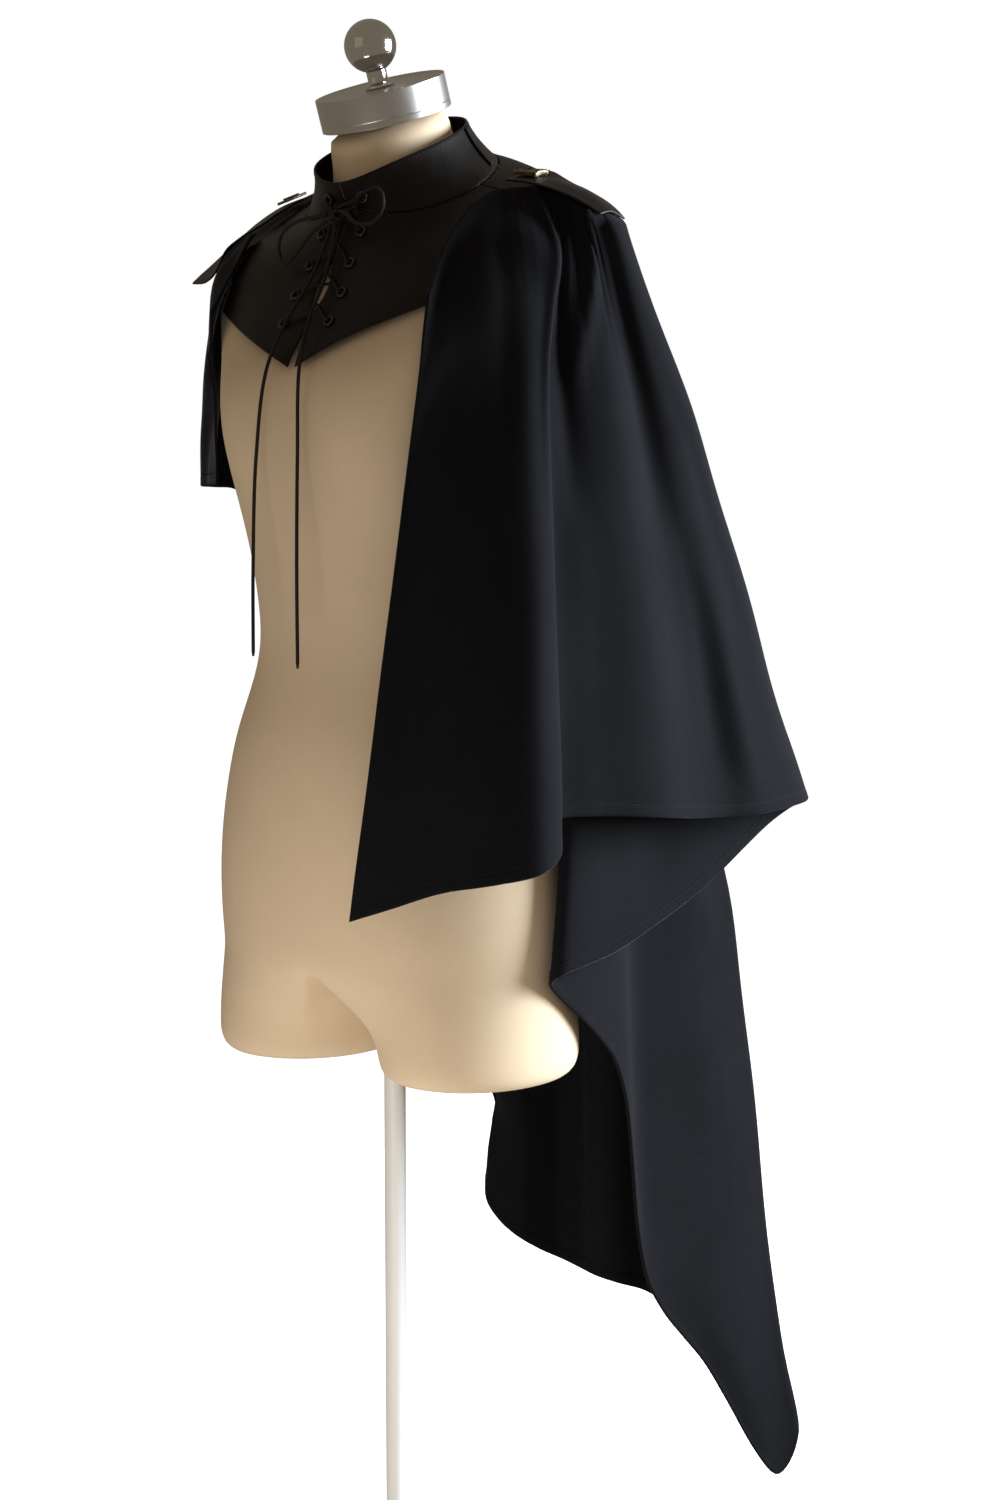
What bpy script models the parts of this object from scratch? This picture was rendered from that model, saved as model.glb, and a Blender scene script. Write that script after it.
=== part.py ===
"""Asymmetric cape with a laced leather collar, on a dress form with a stand.

Metres, +Z up.  The wearer faces -Y and their left side is +X.  The floor is z = 0.
"""
import math

import bmesh
import bpy
import numpy as np
from mathutils import Matrix
from mathutils import Vector

# Cloth, leather and seams
CLOTH = 0.0020
LEATHER = 0.0020
SEAM_GAP = 0.0003
UNDER_LEATHER = 0.0052
CLOTH_CLEAR = 0.0097
FLAP_CLEAR = 0.0125

# Dress form: one row per ring.  The lean is the rise of the ring's plane towards the back.
# height, centre_y, half_width, front, back, lean, power
FORM_ROWS = (
    (0.722, 0.000, 0.1750, 0.1150, 0.1200, 0.00, 2.0),
    (0.750, 0.000, 0.1760, 0.1190, 0.1230, 0.00, 2.0),
    (0.810, 0.000, 0.1740, 0.1220, 0.1240, 0.00, 2.0),
    (0.900, -0.004, 0.1540, 0.1130, 0.1050, 0.00, 2.0),
    (0.990, -0.008, 0.1210, 0.0930, 0.0800, 0.00, 2.0),
    (1.050, -0.004, 0.1270, 0.1020, 0.0860, 0.00, 2.0),
    (1.105, 0.000, 0.1370, 0.1140, 0.0920, 0.00, 2.0),
    (1.175, 0.000, 0.1480, 0.1190, 0.1020, 0.00, 2.0),
    (1.215, 0.000, 0.1580, 0.1150, 0.1060, 0.00, 2.1),
    (1.262, 0.003, 0.1750, 0.1010, 0.1080, 0.12, 2.2),
    (1.306, 0.006, 0.1810, 0.0870, 0.1040, 0.30, 2.3),
    (1.336, 0.008, 0.1680, 0.0760, 0.0940, 0.42, 2.3),
    (1.350, 0.010, 0.1400, 0.0730, 0.0860, 0.50, 2.2),
    (1.360, 0.012, 0.1080, 0.0715, 0.0800, 0.54, 2.1),
    (1.368, 0.012, 0.0820, 0.0680, 0.0720, 0.55, 2.0),
    (1.384, 0.010, 0.0590, 0.0560, 0.0590, 0.48, 2.0),
    (1.405, 0.004, 0.0510, 0.0515, 0.0510, 0.40, 2.0),
    (1.432, -0.004, 0.0500, 0.0500, 0.0500, 0.36, 2.0),
)
FORM_SIDES = 24
FORM_RINGS = (0.722, 0.760, 0.810, 0.860, 0.905, 0.950, 0.990, 1.030, 1.070, 1.110, 1.145, 1.175, 1.205,
              1.235, 1.265, 1.295, 1.318, 1.336, 1.350, 1.360, 1.369, 1.382, 1.405, 1.432)
BUST_OUT = 0.021
BUST_X = 0.076
BUST_Z = 1.178
BUST_REACH_X = 0.052
BUST_REACH_Z = 0.068

# Leg stubs: the ring at the crotch is parted by a bridge of points and each half runs down to an oval
STUB_X = 0.0955
STUB_Y = 0.0020
STUB_HALF_WIDTH = 0.0805
STUB_HALF_DEPTH = 0.0940
STUB_BOTTOM = 0.6270
CROTCH_DIP = 0.0180
BRIDGE_POINTS = 7
# share of the way from the crotch ring to the oval, height above the bottom, size of the oval
STUB_RINGS = (
    (0.45, 0.070, 1.00),
    (0.85, 0.045, 1.00),
    (1.00, 0.020, 1.00),
    (1.00, 0.007, 0.965),
    (1.00, 0.001, 0.900),
    (1.00, 0.000, 0.830),
)

# Neck cap, finial and stand
CAP_RADIUS = 0.0555
CAP_HEIGHT = 0.0270
CAP_EDGE = 0.0030
STEM_RADIUS = 0.0085
BALL_RADIUS = 0.0218
BALL_RISE = 0.0330
POLE_RADIUS = 0.0095
POLE_TOP = 0.8000
BASE_RADIUS = 0.1700
BASE_HEIGHT = 0.0120
BOSS_RADIUS = 0.0280
BOSS_HEIGHT = 0.0220

# Leather collar: the stand's top ring, and the seam on the form where it meets the yoke
STAND_TOP_Z = 1.4120
STAND_TOP_RADIUS = 0.0650
STAND_TOP_LEAN = 0.45
STAND_DIP = 0.0090
STAND_HOLLOW = 0.0030
SEAM_HEIGHT = 1.3660
SEAM_FRONT_RISE = 0.0150
SIDE_SEAM = 128.0
SHOULDER_SEAM = 91.0
GAP_TOP = 0.0045
GAP_BOTTOM = 0.0062
YOKE_TIP_Z = 1.2190
YOKE_CORNER_Z = 1.2710
YOKE_HALF_WIDTH = 0.1230
YOKE_CORNER_SHARE = 0.62
YOKE_CORNER_ANGLE = 58.0
YOKE_SIDE_HEIGHT = 1.3550
YOKE_BACK_HEIGHT = 1.3250

# Eyelets: height, distance from the front's centre
EYELETS = (
    (1.3620, 0.0187),
    (1.3300, 0.0220),
    (1.3030, 0.0226),
    (1.2780, 0.0260),
    (1.2540, 0.0256),
)
EYELET_OUTER = 0.0054
EYELET_BARREL = 0.0032
EYELET_BORE = 0.0023
EYELET_HOLE = 0.0036
EYELET_RISE = 0.0013
EYELET_LIFT = 0.0008
EYELET_SIDES = 10

# Lace
LACE_RADIUS = 0.0012
LACE_OVER = 0.0020
LACE_HUMP = 0.0042
LACE_UNDER = -0.0039
LACE_NECK_DROP = 0.0018
LACE_EDGE = 0.0043
LACE_MIDDLE = -0.0010
LACE_BOW = 0.0046
KNOT_PLACE = (0.0000, -0.0690, 1.3470)
KNOT_HALF = (0.0062, 0.0050, 0.0048)
# Loops and tails: x, y, z along each cord, from the knot outwards
LOOP_LEFT = (
    (0.0066, -0.0700, 1.3500),
    (0.0180, -0.0760, 1.3470),
    (0.0330, -0.0790, 1.3380),
    (0.0480, -0.0770, 1.3370),
    (0.0570, -0.0740, 1.3460),
    (0.0560, -0.0715, 1.3580),
    (0.0470, -0.0690, 1.3660),
    (0.0340, -0.0680, 1.3640),
    (0.0180, -0.0690, 1.3560),
    (0.0058, -0.0715, 1.3525),
)
LOOP_RIGHT = (
    (-0.0068, -0.0700, 1.3480),
    (-0.0180, -0.0760, 1.3460),
    (-0.0330, -0.0800, 1.3430),
    (-0.0470, -0.0810, 1.3360),
    (-0.0530, -0.0810, 1.3250),
    (-0.0500, -0.0815, 1.3130),
    (-0.0420, -0.0830, 1.3090),
    (-0.0330, -0.0810, 1.3170),
    (-0.0190, -0.0770, 1.3330),
    (-0.0060, -0.0725, 1.3425),
)
TAIL_LEFT = (
    (0.0020, -0.0708, 1.3405),
    (0.0040, -0.0760, 1.3250),
    (0.0080, -0.0910, 1.2920),
    (0.0120, -0.1130, 1.2600),
    (0.0180, -0.1310, 1.2200),
    (0.0190, -0.1350, 1.1500),
    (0.0180, -0.1360, 1.0600),
    (0.0170, -0.1350, 0.9770),
)
TAIL_RIGHT = (
    (-0.0020, -0.0712, 1.3400),
    (-0.0045, -0.0780, 1.3200),
    (-0.0080, -0.0930, 1.2900),
    (-0.0120, -0.1140, 1.2600),
    (-0.0180, -0.1320, 1.2200),
    (-0.0260, -0.1370, 1.1500),
    (-0.0310, -0.1370, 1.0600),
    (-0.0330, -0.1360, 0.9850),
)

# Epaulettes: along the shoulder, x, front edge y and z, ridge y and z, back edge y and z
EPAULETTE_LEFT = (
    (0.1220, 0.0040, 1.3720, 0.0250, 1.3770, 0.0500, 1.3780),
    (0.1500, 0.0030, 1.3670, 0.0260, 1.3725, 0.0530, 1.3720),
    (0.1760, 0.0060, 1.3585, 0.0280, 1.3635, 0.0550, 1.3600),
    (0.1940, 0.0110, 1.3500, 0.0310, 1.3540, 0.0540, 1.3495),
    (0.2080, 0.0185, 1.3400, 0.0330, 1.3430, 0.0505, 1.3390),
)
EPAULETTE_RIGHT = (
    (0.1220, -0.0120, 1.3600, 0.0240, 1.3765, 0.0520, 1.3780),
    (0.1500, -0.0200, 1.3400, 0.0245, 1.3710, 0.0570, 1.3720),
    (0.1800, -0.0210, 1.3190, 0.0240, 1.3590, 0.0610, 1.3620),
    (0.2110, -0.0130, 1.3060, 0.0230, 1.3410, 0.0590, 1.3450),
    (0.2440, 0.0015, 1.3070, 0.0200, 1.3190, 0.0450, 1.3240),
)
EPAULETTE_COLUMNS = 8
EPAULETTE_ROWS = 6

# Shoulder strap: down the stand's side and out along the shoulder, with a buckle
STRAP_ANGLE = 116.0
STRAP_WIDTH = 0.0120
STRAP_THICK = 0.0018
BUCKLE_LONG = 0.0210
BUCKLE_WIDE = 0.0190
BUCKLE_BAR = 0.0032
BUCKLE_THICK = 0.0024

# Cape: one row per ridge, valley or edge, round the wearer from the left front to the right side
# seam x, y, z, hem x, y, z, flare (1 is straight, more swings out higher up)
CAPE_GUIDES = (
    (0.1230, -0.0930, 1.2720, 0.0850, -0.1480, 0.7770, 1.0),
    (0.1200, -0.0700, 1.3120, 0.1290, -0.1500, 0.7920, 1.1),
    (0.1190, -0.0380, 1.3470, 0.1800, -0.1440, 0.8100, 1.3),
    (0.1240, -0.0090, 1.3640, 0.2220, -0.1330, 0.8190, 1.5),
    (0.1370, 0.0000, 1.3645, 0.2525, -0.1120, 0.8280, 1.5),
    (0.1490, 0.0065, 1.3630, 0.2490, -0.0820, 0.8410, 1.5),
    (0.1620, 0.0080, 1.3600, 0.2230, -0.0610, 0.8610, 1.5),
    (0.1770, 0.0080, 1.3550, 0.2340, -0.0180, 0.8620, 1.4),
    (0.1910, 0.0120, 1.3480, 0.2560, 0.0450, 0.8560, 1.3),
    (0.2030, 0.0160, 1.3400, 0.2480, 0.1230, 0.8470, 1.2),
    (0.2120, 0.0230, 1.3320, 0.2640, 0.1850, 0.8460, 1.1),
    (0.2170, 0.0320, 1.3280, 0.2650, 0.2450, 0.8490, 1.1),
    (0.2160, 0.0420, 1.3290, 0.2510, 0.2680, 0.8480, 1.1),
    (0.2100, 0.0500, 1.3340, 0.2330, 0.2500, 0.8330, 1.1),
    (0.2010, 0.0550, 1.3400, 0.2160, 0.1500, 0.7750, 1.1),
    (0.1910, 0.0580, 1.3460, 0.2060, 0.0440, 0.7380, 0.8),
    (0.1840, 0.0590, 1.3500, 0.1980, -0.0136, 0.7270, 1.0),
    (0.1780, 0.0600, 1.3540, 0.1860, -0.0150, 0.7170, 1.0),
    (0.1710, 0.0620, 1.3570, 0.1820, 0.0350, 0.6780, 1.0),
    (0.1590, 0.0650, 1.3620, 0.1740, 0.0980, 0.6200, 1.2),
    (0.1470, 0.0700, 1.3650, 0.1560, 0.1680, 0.4100, 1.7),
    (0.1340, 0.0770, 1.3670, 0.1620, 0.2500, 0.3100, 1.6),
    (0.1220, 0.0850, 1.3680, 0.1850, 0.3350, 0.1850, 1.4),
    (0.1090, 0.0940, 1.3680, 0.1870, 0.3530, 0.2320, 1.45),
    (0.0940, 0.1020, 1.3680, 0.1400, 0.3500, 0.2650, 1.5),
    (0.0760, 0.1100, 1.3680, 0.1040, 0.3020, 0.3120, 1.7),
    (0.0560, 0.1160, 1.3680, 0.0560, 0.3180, 0.3370, 1.7),
    (0.0330, 0.1210, 1.3680, 0.0280, 0.2700, 0.3610, 1.8),
    (0.0090, 0.1230, 1.3680, -0.0330, 0.2880, 0.3620, 1.8),
    (-0.0160, 0.1230, 1.3680, -0.0600, 0.2450, 0.3920, 1.7),
    (-0.0400, 0.1200, 1.3680, -0.1090, 0.2560, 0.4220, 1.7),
    (-0.0620, 0.1140, 1.3680, -0.0980, 0.2600, 0.5100, 1.7),
    (-0.0850, 0.1050, 1.3680, -0.1450, 0.2200, 0.6300, 1.6),
    (-0.1080, 0.0930, 1.3680, -0.1820, 0.2140, 0.7600, 1.6),
    (-0.1330, 0.0780, 1.3670, -0.2060, 0.1500, 0.8900, 1.5),
    (-0.1600, 0.0660, 1.3620, -0.2400, 0.1260, 1.0300, 1.4),
    (-0.1900, 0.0560, 1.3460, -0.2440, 0.0700, 1.1150, 1.6),
    (-0.2120, 0.0400, 1.3300, -0.2500, 0.0350, 1.1230, 1.8),
    (-0.2150, 0.0000, 1.3080, -0.2440, 0.0080, 1.1240, 2.0),
    (-0.1720, -0.0220, 1.3200, -0.2180, -0.0080, 1.1250, 1.7),
    (-0.1240, -0.0420, 1.3420, -0.1980, -0.0230, 1.1255, 1.5),
    (-0.1230, -0.0930, 1.2720, -0.1750, -0.0380, 1.1260, 1.3),
)
CAPE_ROWS = 13
# panel name, first guide, last guide, columns
CAPE_PANELS = (
    ("cape_front", 0.0, 7.4, 24),
    ("cape_side", 7.4, 15.0, 22),
    ("cape_back", 15.0, 31.5, 38),
    ("cape_right", 31.5, 41.0, 20),
)


def clear_scene():
    """Remove every object of the scene."""
    for obj in list(bpy.data.objects):
        bpy.data.objects.remove(obj, do_unlink=True)


def make_material(name, colour, rough, metal=0.0):
    """A plain material with these values."""
    made = bpy.data.materials.new(name)
    made.use_nodes = True
    shader = made.node_tree.nodes["Principled BSDF"]
    shader.inputs["Base Color"].default_value = (*colour, 1.0)
    shader.inputs["Roughness"].default_value = rough
    shader.inputs["Metallic"].default_value = metal
    return made


def add_object(name, mesh, material):
    """Link a mesh into the scene as a named object."""
    obj = bpy.data.objects.new(name, mesh)
    bpy.context.scene.collection.objects.link(obj)
    mesh.materials.append(material)
    return obj


def from_faces(name, points, faces, material):
    """An object from points and faces, with its faces turned outwards."""
    bm = bmesh.new()
    corners = [bm.verts.new(p) for p in points]
    for face in faces:
        bm.faces.new([corners[i] for i in face])
    bmesh.ops.recalc_face_normals(bm, faces=bm.faces)
    if bm.calc_volume(signed=True) < 0:
        bmesh.ops.reverse_faces(bm, faces=bm.faces)
    mesh = bpy.data.meshes.new(name)
    bm.to_mesh(mesh)
    bm.free()
    return add_object(name, mesh, material)


def smooth(value, places, amounts):
    """Amount at a value on the smooth curve through these points; the places rise."""
    places = np.asarray(places, float)
    amounts = np.asarray(amounts, float)
    slopes = np.gradient(amounts, places, axis=0)
    i = int(np.clip(np.searchsorted(places, value) - 1, 0, len(places) - 2))
    step = places[i + 1] - places[i]
    t = min(max((value - places[i]) / step, 0.0), 1.0)
    a = 2 * t ** 3 - 3 * t ** 2 + 1
    b = t ** 3 - 2 * t ** 2 + t
    c = 3 * t ** 2 - 2 * t ** 3
    d = t ** 3 - t ** 2
    return a * amounts[i] + b * step * slopes[i] + c * amounts[i + 1] + d * step * slopes[i + 1]


def curve_near(points, between):
    """The smooth curve through the given points, with this many steps between neighbours."""
    points = np.asarray(points, float)
    steps = np.sqrt(np.linalg.norm(np.diff(points, axis=0), axis=1))
    places = np.concatenate([[0.0], np.cumsum(steps)])
    spots = np.interp(np.arange((len(points) - 1) * between + 1) / between, range(len(points)), places)
    return np.array([smooth(spot, places, points) for spot in spots])


def curve_through(points, count):
    """Evenly spaced points on the smooth curve through the given ones."""
    points = np.asarray(points, float)
    steps = np.sqrt(np.linalg.norm(np.diff(points, axis=0), axis=1))
    places = np.concatenate([[0.0], np.cumsum(steps)])
    fine = np.array([smooth(v, places, points) for v in np.linspace(0, places[-1], count * 6)])
    run = np.concatenate([[0.0], np.cumsum(np.linalg.norm(np.diff(fine, axis=0), axis=1))])
    even = np.linspace(0, run[-1], count)
    return np.stack([np.interp(even, run, fine[:, k]) for k in range(3)], axis=1)


def wall(name, inner, outer, material):
    """A closed wall between two grids of points, rows by columns."""
    rows, cols = inner.shape[:2]
    points = [tuple(p) for p in inner.reshape(-1, 3)] + [tuple(p) for p in outer.reshape(-1, 3)]
    far = rows * cols
    faces = []
    for r in range(rows - 1):
        for c in range(cols - 1):
            a = r * cols + c
            faces.append((a, a + 1, a + cols + 1, a + cols))
            faces.append((far + a, far + a + cols, far + a + cols + 1, far + a + 1))
    edge = [(0, c) for c in range(cols)]
    edge += [(r, cols - 1) for r in range(1, rows)]
    edge += [(rows - 1, c) for c in range(cols - 2, -1, -1)]
    edge += [(r, 0) for r in range(rows - 2, 0, -1)]
    for (r, c), (s, d) in zip(edge, edge[1:] + edge[:1]):
        a, b = r * cols + c, s * cols + d
        if s >= r:
            faces += [(a, b, far + b), (a, far + b, far + a)]
        else:
            faces += [(a, b, far + a), (b, far + b, far + a)]
    return from_faces(name, points, faces, material)


def turned(name, profile, sides, material, place=(0.0, 0.0, 0.0), tilt=0.0):
    """A turned piece: the profile of (radius, height) spun about its axis, tilted forwards."""
    bm = bmesh.new()
    corners = [bm.verts.new((r, 0.0, z)) for r, z in profile]
    edges = [bm.edges.new(pair) for pair in zip(corners, corners[1:])]
    bmesh.ops.spin(bm, geom=corners + edges, cent=(0, 0, 0), axis=(0, 0, 1), angle=2 * math.pi,
                   steps=sides, use_merge=True)
    bmesh.ops.remove_doubles(bm, verts=bm.verts, dist=1e-6)
    bmesh.ops.recalc_face_normals(bm, faces=bm.faces)
    bmesh.ops.transform(bm, matrix=Matrix.Translation(place) @ Matrix.Rotation(tilt, 4, "X"), verts=bm.verts)
    mesh = bpy.data.meshes.new(name)
    bm.to_mesh(mesh)
    bm.free()
    return add_object(name, mesh, material)


def tube(name, points, radius, material):
    """A cord along these points."""
    curve = bpy.data.curves.new(name, "CURVE")
    curve.dimensions = "3D"
    curve.bevel_depth = radius
    curve.bevel_resolution = 2
    curve.use_fill_caps = True
    line = curve.splines.new("POLY")
    line.points.add(len(points) - 1)
    for spot, p in zip(line.points, points):
        spot.co = (*p, 1.0)
    curve.materials.append(material)
    obj = bpy.data.objects.new(name, curve)
    bpy.context.scene.collection.objects.link(obj)
    return obj


FORM_TABLE = np.asarray(FORM_ROWS)


def form_point(height, angle):
    """Point of the form on the ring at a height, at an angle from the front towards the left."""
    centre, half, front, back, lean, power = smooth(height, FORM_TABLE[:, 0], FORM_TABLE[:, 1:])
    s, c = math.sin(angle), math.cos(angle)
    depth = front if c > 0 else back
    x = half * math.copysign(abs(s) ** (2 / power), s)
    y = centre - depth * math.copysign(abs(c) ** (2 / power), c)
    z = height + lean * (y - centre)
    if c > 0:
        reach = ((abs(x) - BUST_X) / BUST_REACH_X) ** 2 + ((z - BUST_Z) / BUST_REACH_Z) ** 2
        y -= BUST_OUT * math.exp(-reach) * min(1.0, 3 * c)
    return np.array([x, y, z])


def form_height(z, angle):
    """Ring height whose point at this angle lies at z."""
    height = z
    for _ in range(12):
        height += 0.8 * (z - form_point(height, angle)[2])
    return height


def form_off(height, angle, lift):
    """Point of the form moved out along its own normal."""
    d = 1e-4
    across = form_point(height, angle + d) - form_point(height, angle - d)
    up = form_point(height + d, angle) - form_point(height - d, angle)
    normal = np.cross(across, up)
    return form_point(height, angle) + lift * normal / np.linalg.norm(normal)


def form_cloud():
    """Points of the form from the hips up, close together, with their normals."""
    points = []
    normals = []
    for height in np.linspace(0.73, 1.43, 100):
        for turn in range(96):
            angle = 2 * math.pi * turn / 96
            spot = form_point(height, angle)
            points.append(spot)
            normals.append((form_off(height, angle, 0.01) - spot) * 100)
    return np.array(points), np.array(normals)


def clear_of_form(spots, cloud, gap):
    """The points, each moved out along the form's normal where it lies closer than the gap."""
    points, normals = cloud
    spots = spots.copy()
    for _ in range(3):
        for k, p in enumerate(spots):
            if p[2] < 0.72:
                continue
            near = int(np.argmin(((points - p) ** 2).sum(axis=1)))
            depth = float((p - points[near]) @ normals[near])
            if depth < gap:
                spots[k] = p + normals[near] * (gap - depth)
    return spots


def build_form(material):
    """The dress form's body: rings from the neck to the crotch, then two stubs."""
    points = []
    faces = []
    n = FORM_SIDES
    for height in FORM_RINGS:
        points += [form_point(height, 2 * math.pi * i / n) for i in range(n)]
    for r in range(len(FORM_RINGS) - 1):
        for i in range(n):
            j = (i + 1) % n
            faces.append((r * n + i, r * n + j, (r + 1) * n + j, (r + 1) * n + i))
    top = (len(FORM_RINGS) - 1) * n
    faces.append(tuple(range(top, top + n)))
    front, back = points[0], points[n // 2]
    bridge = []
    for k in range(1, BRIDGE_POINTS + 1):
        share = k / (BRIDGE_POINTS + 1)
        spot = front * (1 - share) + back * share
        spot[2] -= CROTCH_DIP * math.sin(math.pi * share) ** 0.7
        bridge.append(len(points))
        points.append(spot)
    left = list(range(0, n // 2 + 1)) + bridge[::-1]
    right = list(range(n // 2, n)) + [0] + bridge
    for loop, side in ((left, 1), (right, -1)):
        start = [points[i] for i in loop]
        last = loop
        for share, rise, size in STUB_RINGS:
            ring = []
            for p in start:
                turn = math.atan2(p[0] - side * STUB_X, STUB_Y - p[1])
                x = side * STUB_X + STUB_HALF_WIDTH * size * math.sin(turn)
                y = STUB_Y - STUB_HALF_DEPTH * size * math.cos(turn)
                ring.append(len(points))
                points.append(np.array([p[0] + (x - p[0]) * share, p[1] + (y - p[1]) * share, STUB_BOTTOM + rise]))
            for k in range(len(loop)):
                m = (k + 1) % len(loop)
                faces.append((last[k], last[m], ring[m], ring[k]))
            last = ring
        faces.append(tuple(last))
    body = from_faces("form_body", [tuple(p) for p in points], faces, material)
    socket = turned("socket_cutter", [(0, 0.5), (POLE_RADIUS + SEAM_GAP, 0.5),
                                      (POLE_RADIUS + SEAM_GAP, POLE_TOP + SEAM_GAP), (0, POLE_TOP + SEAM_GAP)],
                    20, material)
    cut(body, socket)
    return body


def cut(body, cutter):
    """Take one piece out of another."""
    cutter.hide_render = True
    cutter.display_type = "WIRE"
    boolean = body.modifiers.new("cut", "BOOLEAN")
    boolean.operation = "DIFFERENCE"
    boolean.solver = "EXACT"
    boolean.object = cutter


def build_hardware(steel, painted):
    """Neck cap, finial, pole and base."""
    top = FORM_TABLE[-1]
    lean = math.atan(top[5])
    foot = np.array([0.0, top[1], top[0]])
    axis = np.array([0.0, -math.sin(lean), math.cos(lean)])
    r, h, e = CAP_RADIUS, CAP_HEIGHT, CAP_EDGE
    turned("neck_cap", [(0, 0), (r - e, 0), (r, e), (r, h - e), (r - e, h), (0, h)], 32, steel,
           foot + axis * SEAM_GAP, lean)
    ball = [(0.0, 0.0), (STEM_RADIUS * 1.5, 0.0), (STEM_RADIUS * 1.4, 0.002), (STEM_RADIUS, 0.005)]
    low = math.asin(STEM_RADIUS / BALL_RADIUS)
    for k in range(8):
        turn = low + (math.pi - low) * k / 7
        ball.append((BALL_RADIUS * math.sin(turn), BALL_RISE - BALL_RADIUS * math.cos(turn)))
    ball[-1] = (0.0, BALL_RISE + BALL_RADIUS)
    turned("finial", ball, 16, steel, foot + axis * (CAP_HEIGHT + 2 * SEAM_GAP), lean)
    turned("stand_pole", [(0, BOSS_HEIGHT + SEAM_GAP), (POLE_RADIUS, BOSS_HEIGHT + SEAM_GAP),
                          (POLE_RADIUS, POLE_TOP), (0, POLE_TOP)], 20, painted)
    turned("stand_base", [(0, 0), (BASE_RADIUS - 0.002, 0), (BASE_RADIUS, 0.002), (BASE_RADIUS, BASE_HEIGHT - 0.004),
                          (BASE_RADIUS - 0.004, BASE_HEIGHT), (BOSS_RADIUS, BASE_HEIGHT + 0.001),
                          (BOSS_RADIUS - 0.003, BOSS_HEIGHT), (0, BOSS_HEIGHT)], 32, painted)


def seam_height(angle):
    """Ring height of the seam between the stand and the yoke."""
    degrees = math.degrees(math.atan2(math.sin(angle), math.cos(angle)))
    return SEAM_HEIGHT + SEAM_FRONT_RISE * math.exp(-(degrees / 42.0) ** 2)


def stand_point(angle, share, layer):
    """Point of the stand: share 0 at the seam and 1 at the top, layer 0 inside and 1 outside."""
    base = form_off(seam_height(angle), angle, UNDER_LEATHER + LEATHER * layer)
    radius = STAND_TOP_RADIUS - LEATHER * (1 - layer)
    degrees = math.degrees(math.atan2(math.sin(angle), math.cos(angle)))
    x = radius * math.sin(angle)
    y = -radius * math.cos(angle)
    z = STAND_TOP_Z + STAND_TOP_LEAN * y - STAND_DIP * math.exp(-(degrees / 38.0) ** 2)
    top = np.array([x, y, z])
    spot = base + (top - base) * share
    out = np.array([math.sin(angle), -math.cos(angle), 0.0])
    return spot - out * STAND_HOLLOW * 4 * share * (1 - share) * min(1.0, abs(degrees) / 40.0)


def gap_angle(height):
    """Angle of the front edge of the leather at a height."""
    half = smooth(height, FORM_TABLE[:, 0], FORM_TABLE[:, 2])
    share = min(max((1.40 - height) / 0.18, 0.0), 1.0)
    return math.asin((GAP_TOP + (GAP_BOTTOM - GAP_TOP) * share) / half)


def front_spot(x, z):
    """Angle and ring height of the form's front at this x and z."""
    few, many = 0.0, math.radians(SHOULDER_SEAM)
    for _ in range(24):
        angle = (few + many) / 2
        if form_point(form_height(z, angle), angle)[0] < x:
            few = angle
        else:
            many = angle
    return angle, form_height(z, angle)


def yoke_front_spots(columns, rows):
    """Angle and ring height of each point of a yoke front; its lines run from the seam to the outer edge."""
    spots = np.zeros((rows + 1, columns + 1, 2))
    last = math.radians(SHOULDER_SEAM - 0.12)
    first = gap_angle(seam_height(0.0))
    corner = math.radians(YOKE_CORNER_ANGLE)
    for c in range(columns + 1):
        share = c / columns
        if share <= YOKE_CORNER_SHARE:
            run = share / YOKE_CORNER_SHARE
            start = first + (corner - first) * run
            x = GAP_BOTTOM + (YOKE_HALF_WIDTH - GAP_BOTTOM) * run
            z = YOKE_TIP_Z + (YOKE_CORNER_Z - YOKE_TIP_Z) * run
        else:
            run = (share - YOKE_CORNER_SHARE) / (1 - YOKE_CORNER_SHARE)
            start = corner + (last - corner) * run
            x = YOKE_HALF_WIDTH
            z = YOKE_CORNER_Z + (YOKE_SIDE_HEIGHT - YOKE_CORNER_Z) * run
        top = seam_height(start) - 0.0004
        seam = form_point(top, start)
        for r in range(rows + 1):
            down = r / rows
            if c == columns:
                spots[r, c] = last, top + (YOKE_SIDE_HEIGHT - top) * down
            elif r == 0:
                spots[r, c] = start, top
            else:
                spots[r, c] = front_spot(seam[0] + (x - seam[0]) * down, seam[2] + (z - seam[2]) * down)
    return spots


def yoke_front_grid(spots, layer, side):
    """Grid of one face of a yoke front."""
    grid = np.zeros((*spots.shape[:2], 3))
    for r in range(spots.shape[0]):
        for c in range(spots.shape[1]):
            grid[r, c] = form_off(spots[r, c, 1], spots[r, c, 0] * side, UNDER_LEATHER + LEATHER * layer)
    return grid


def yoke_back_grid(columns, rows, layer):
    """Grid of the yoke across the back, from shoulder to shoulder."""
    grid = np.zeros((rows + 1, columns + 1, 3))
    first = SHOULDER_SEAM + 0.12
    for c in range(columns + 1):
        share = c / columns
        angle = math.radians(first + (360.0 - 2 * first) * share)
        top = seam_height(angle) - 0.0004
        low = YOKE_SIDE_HEIGHT + (YOKE_BACK_HEIGHT - YOKE_SIDE_HEIGHT) * math.sin(math.pi * share) ** 1.5
        for r in range(rows + 1):
            grid[r, c] = form_off(top + (low - top) * r / rows, angle, UNDER_LEATHER + LEATHER * layer)
    return grid


def stand_grid(first, last, columns, rows, layer, front_edge, side):
    """Grid of the stand between two angles."""
    grid = np.zeros((rows + 1, columns + 1, 3))
    for c in range(columns + 1):
        for r in range(rows + 1):
            start = math.asin(GAP_TOP / 0.062) if front_edge else math.radians(first)
            angle = start + (math.radians(last) - start) * c / columns
            grid[r, c] = stand_point(angle * side, r / rows, layer)
    return grid


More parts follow.
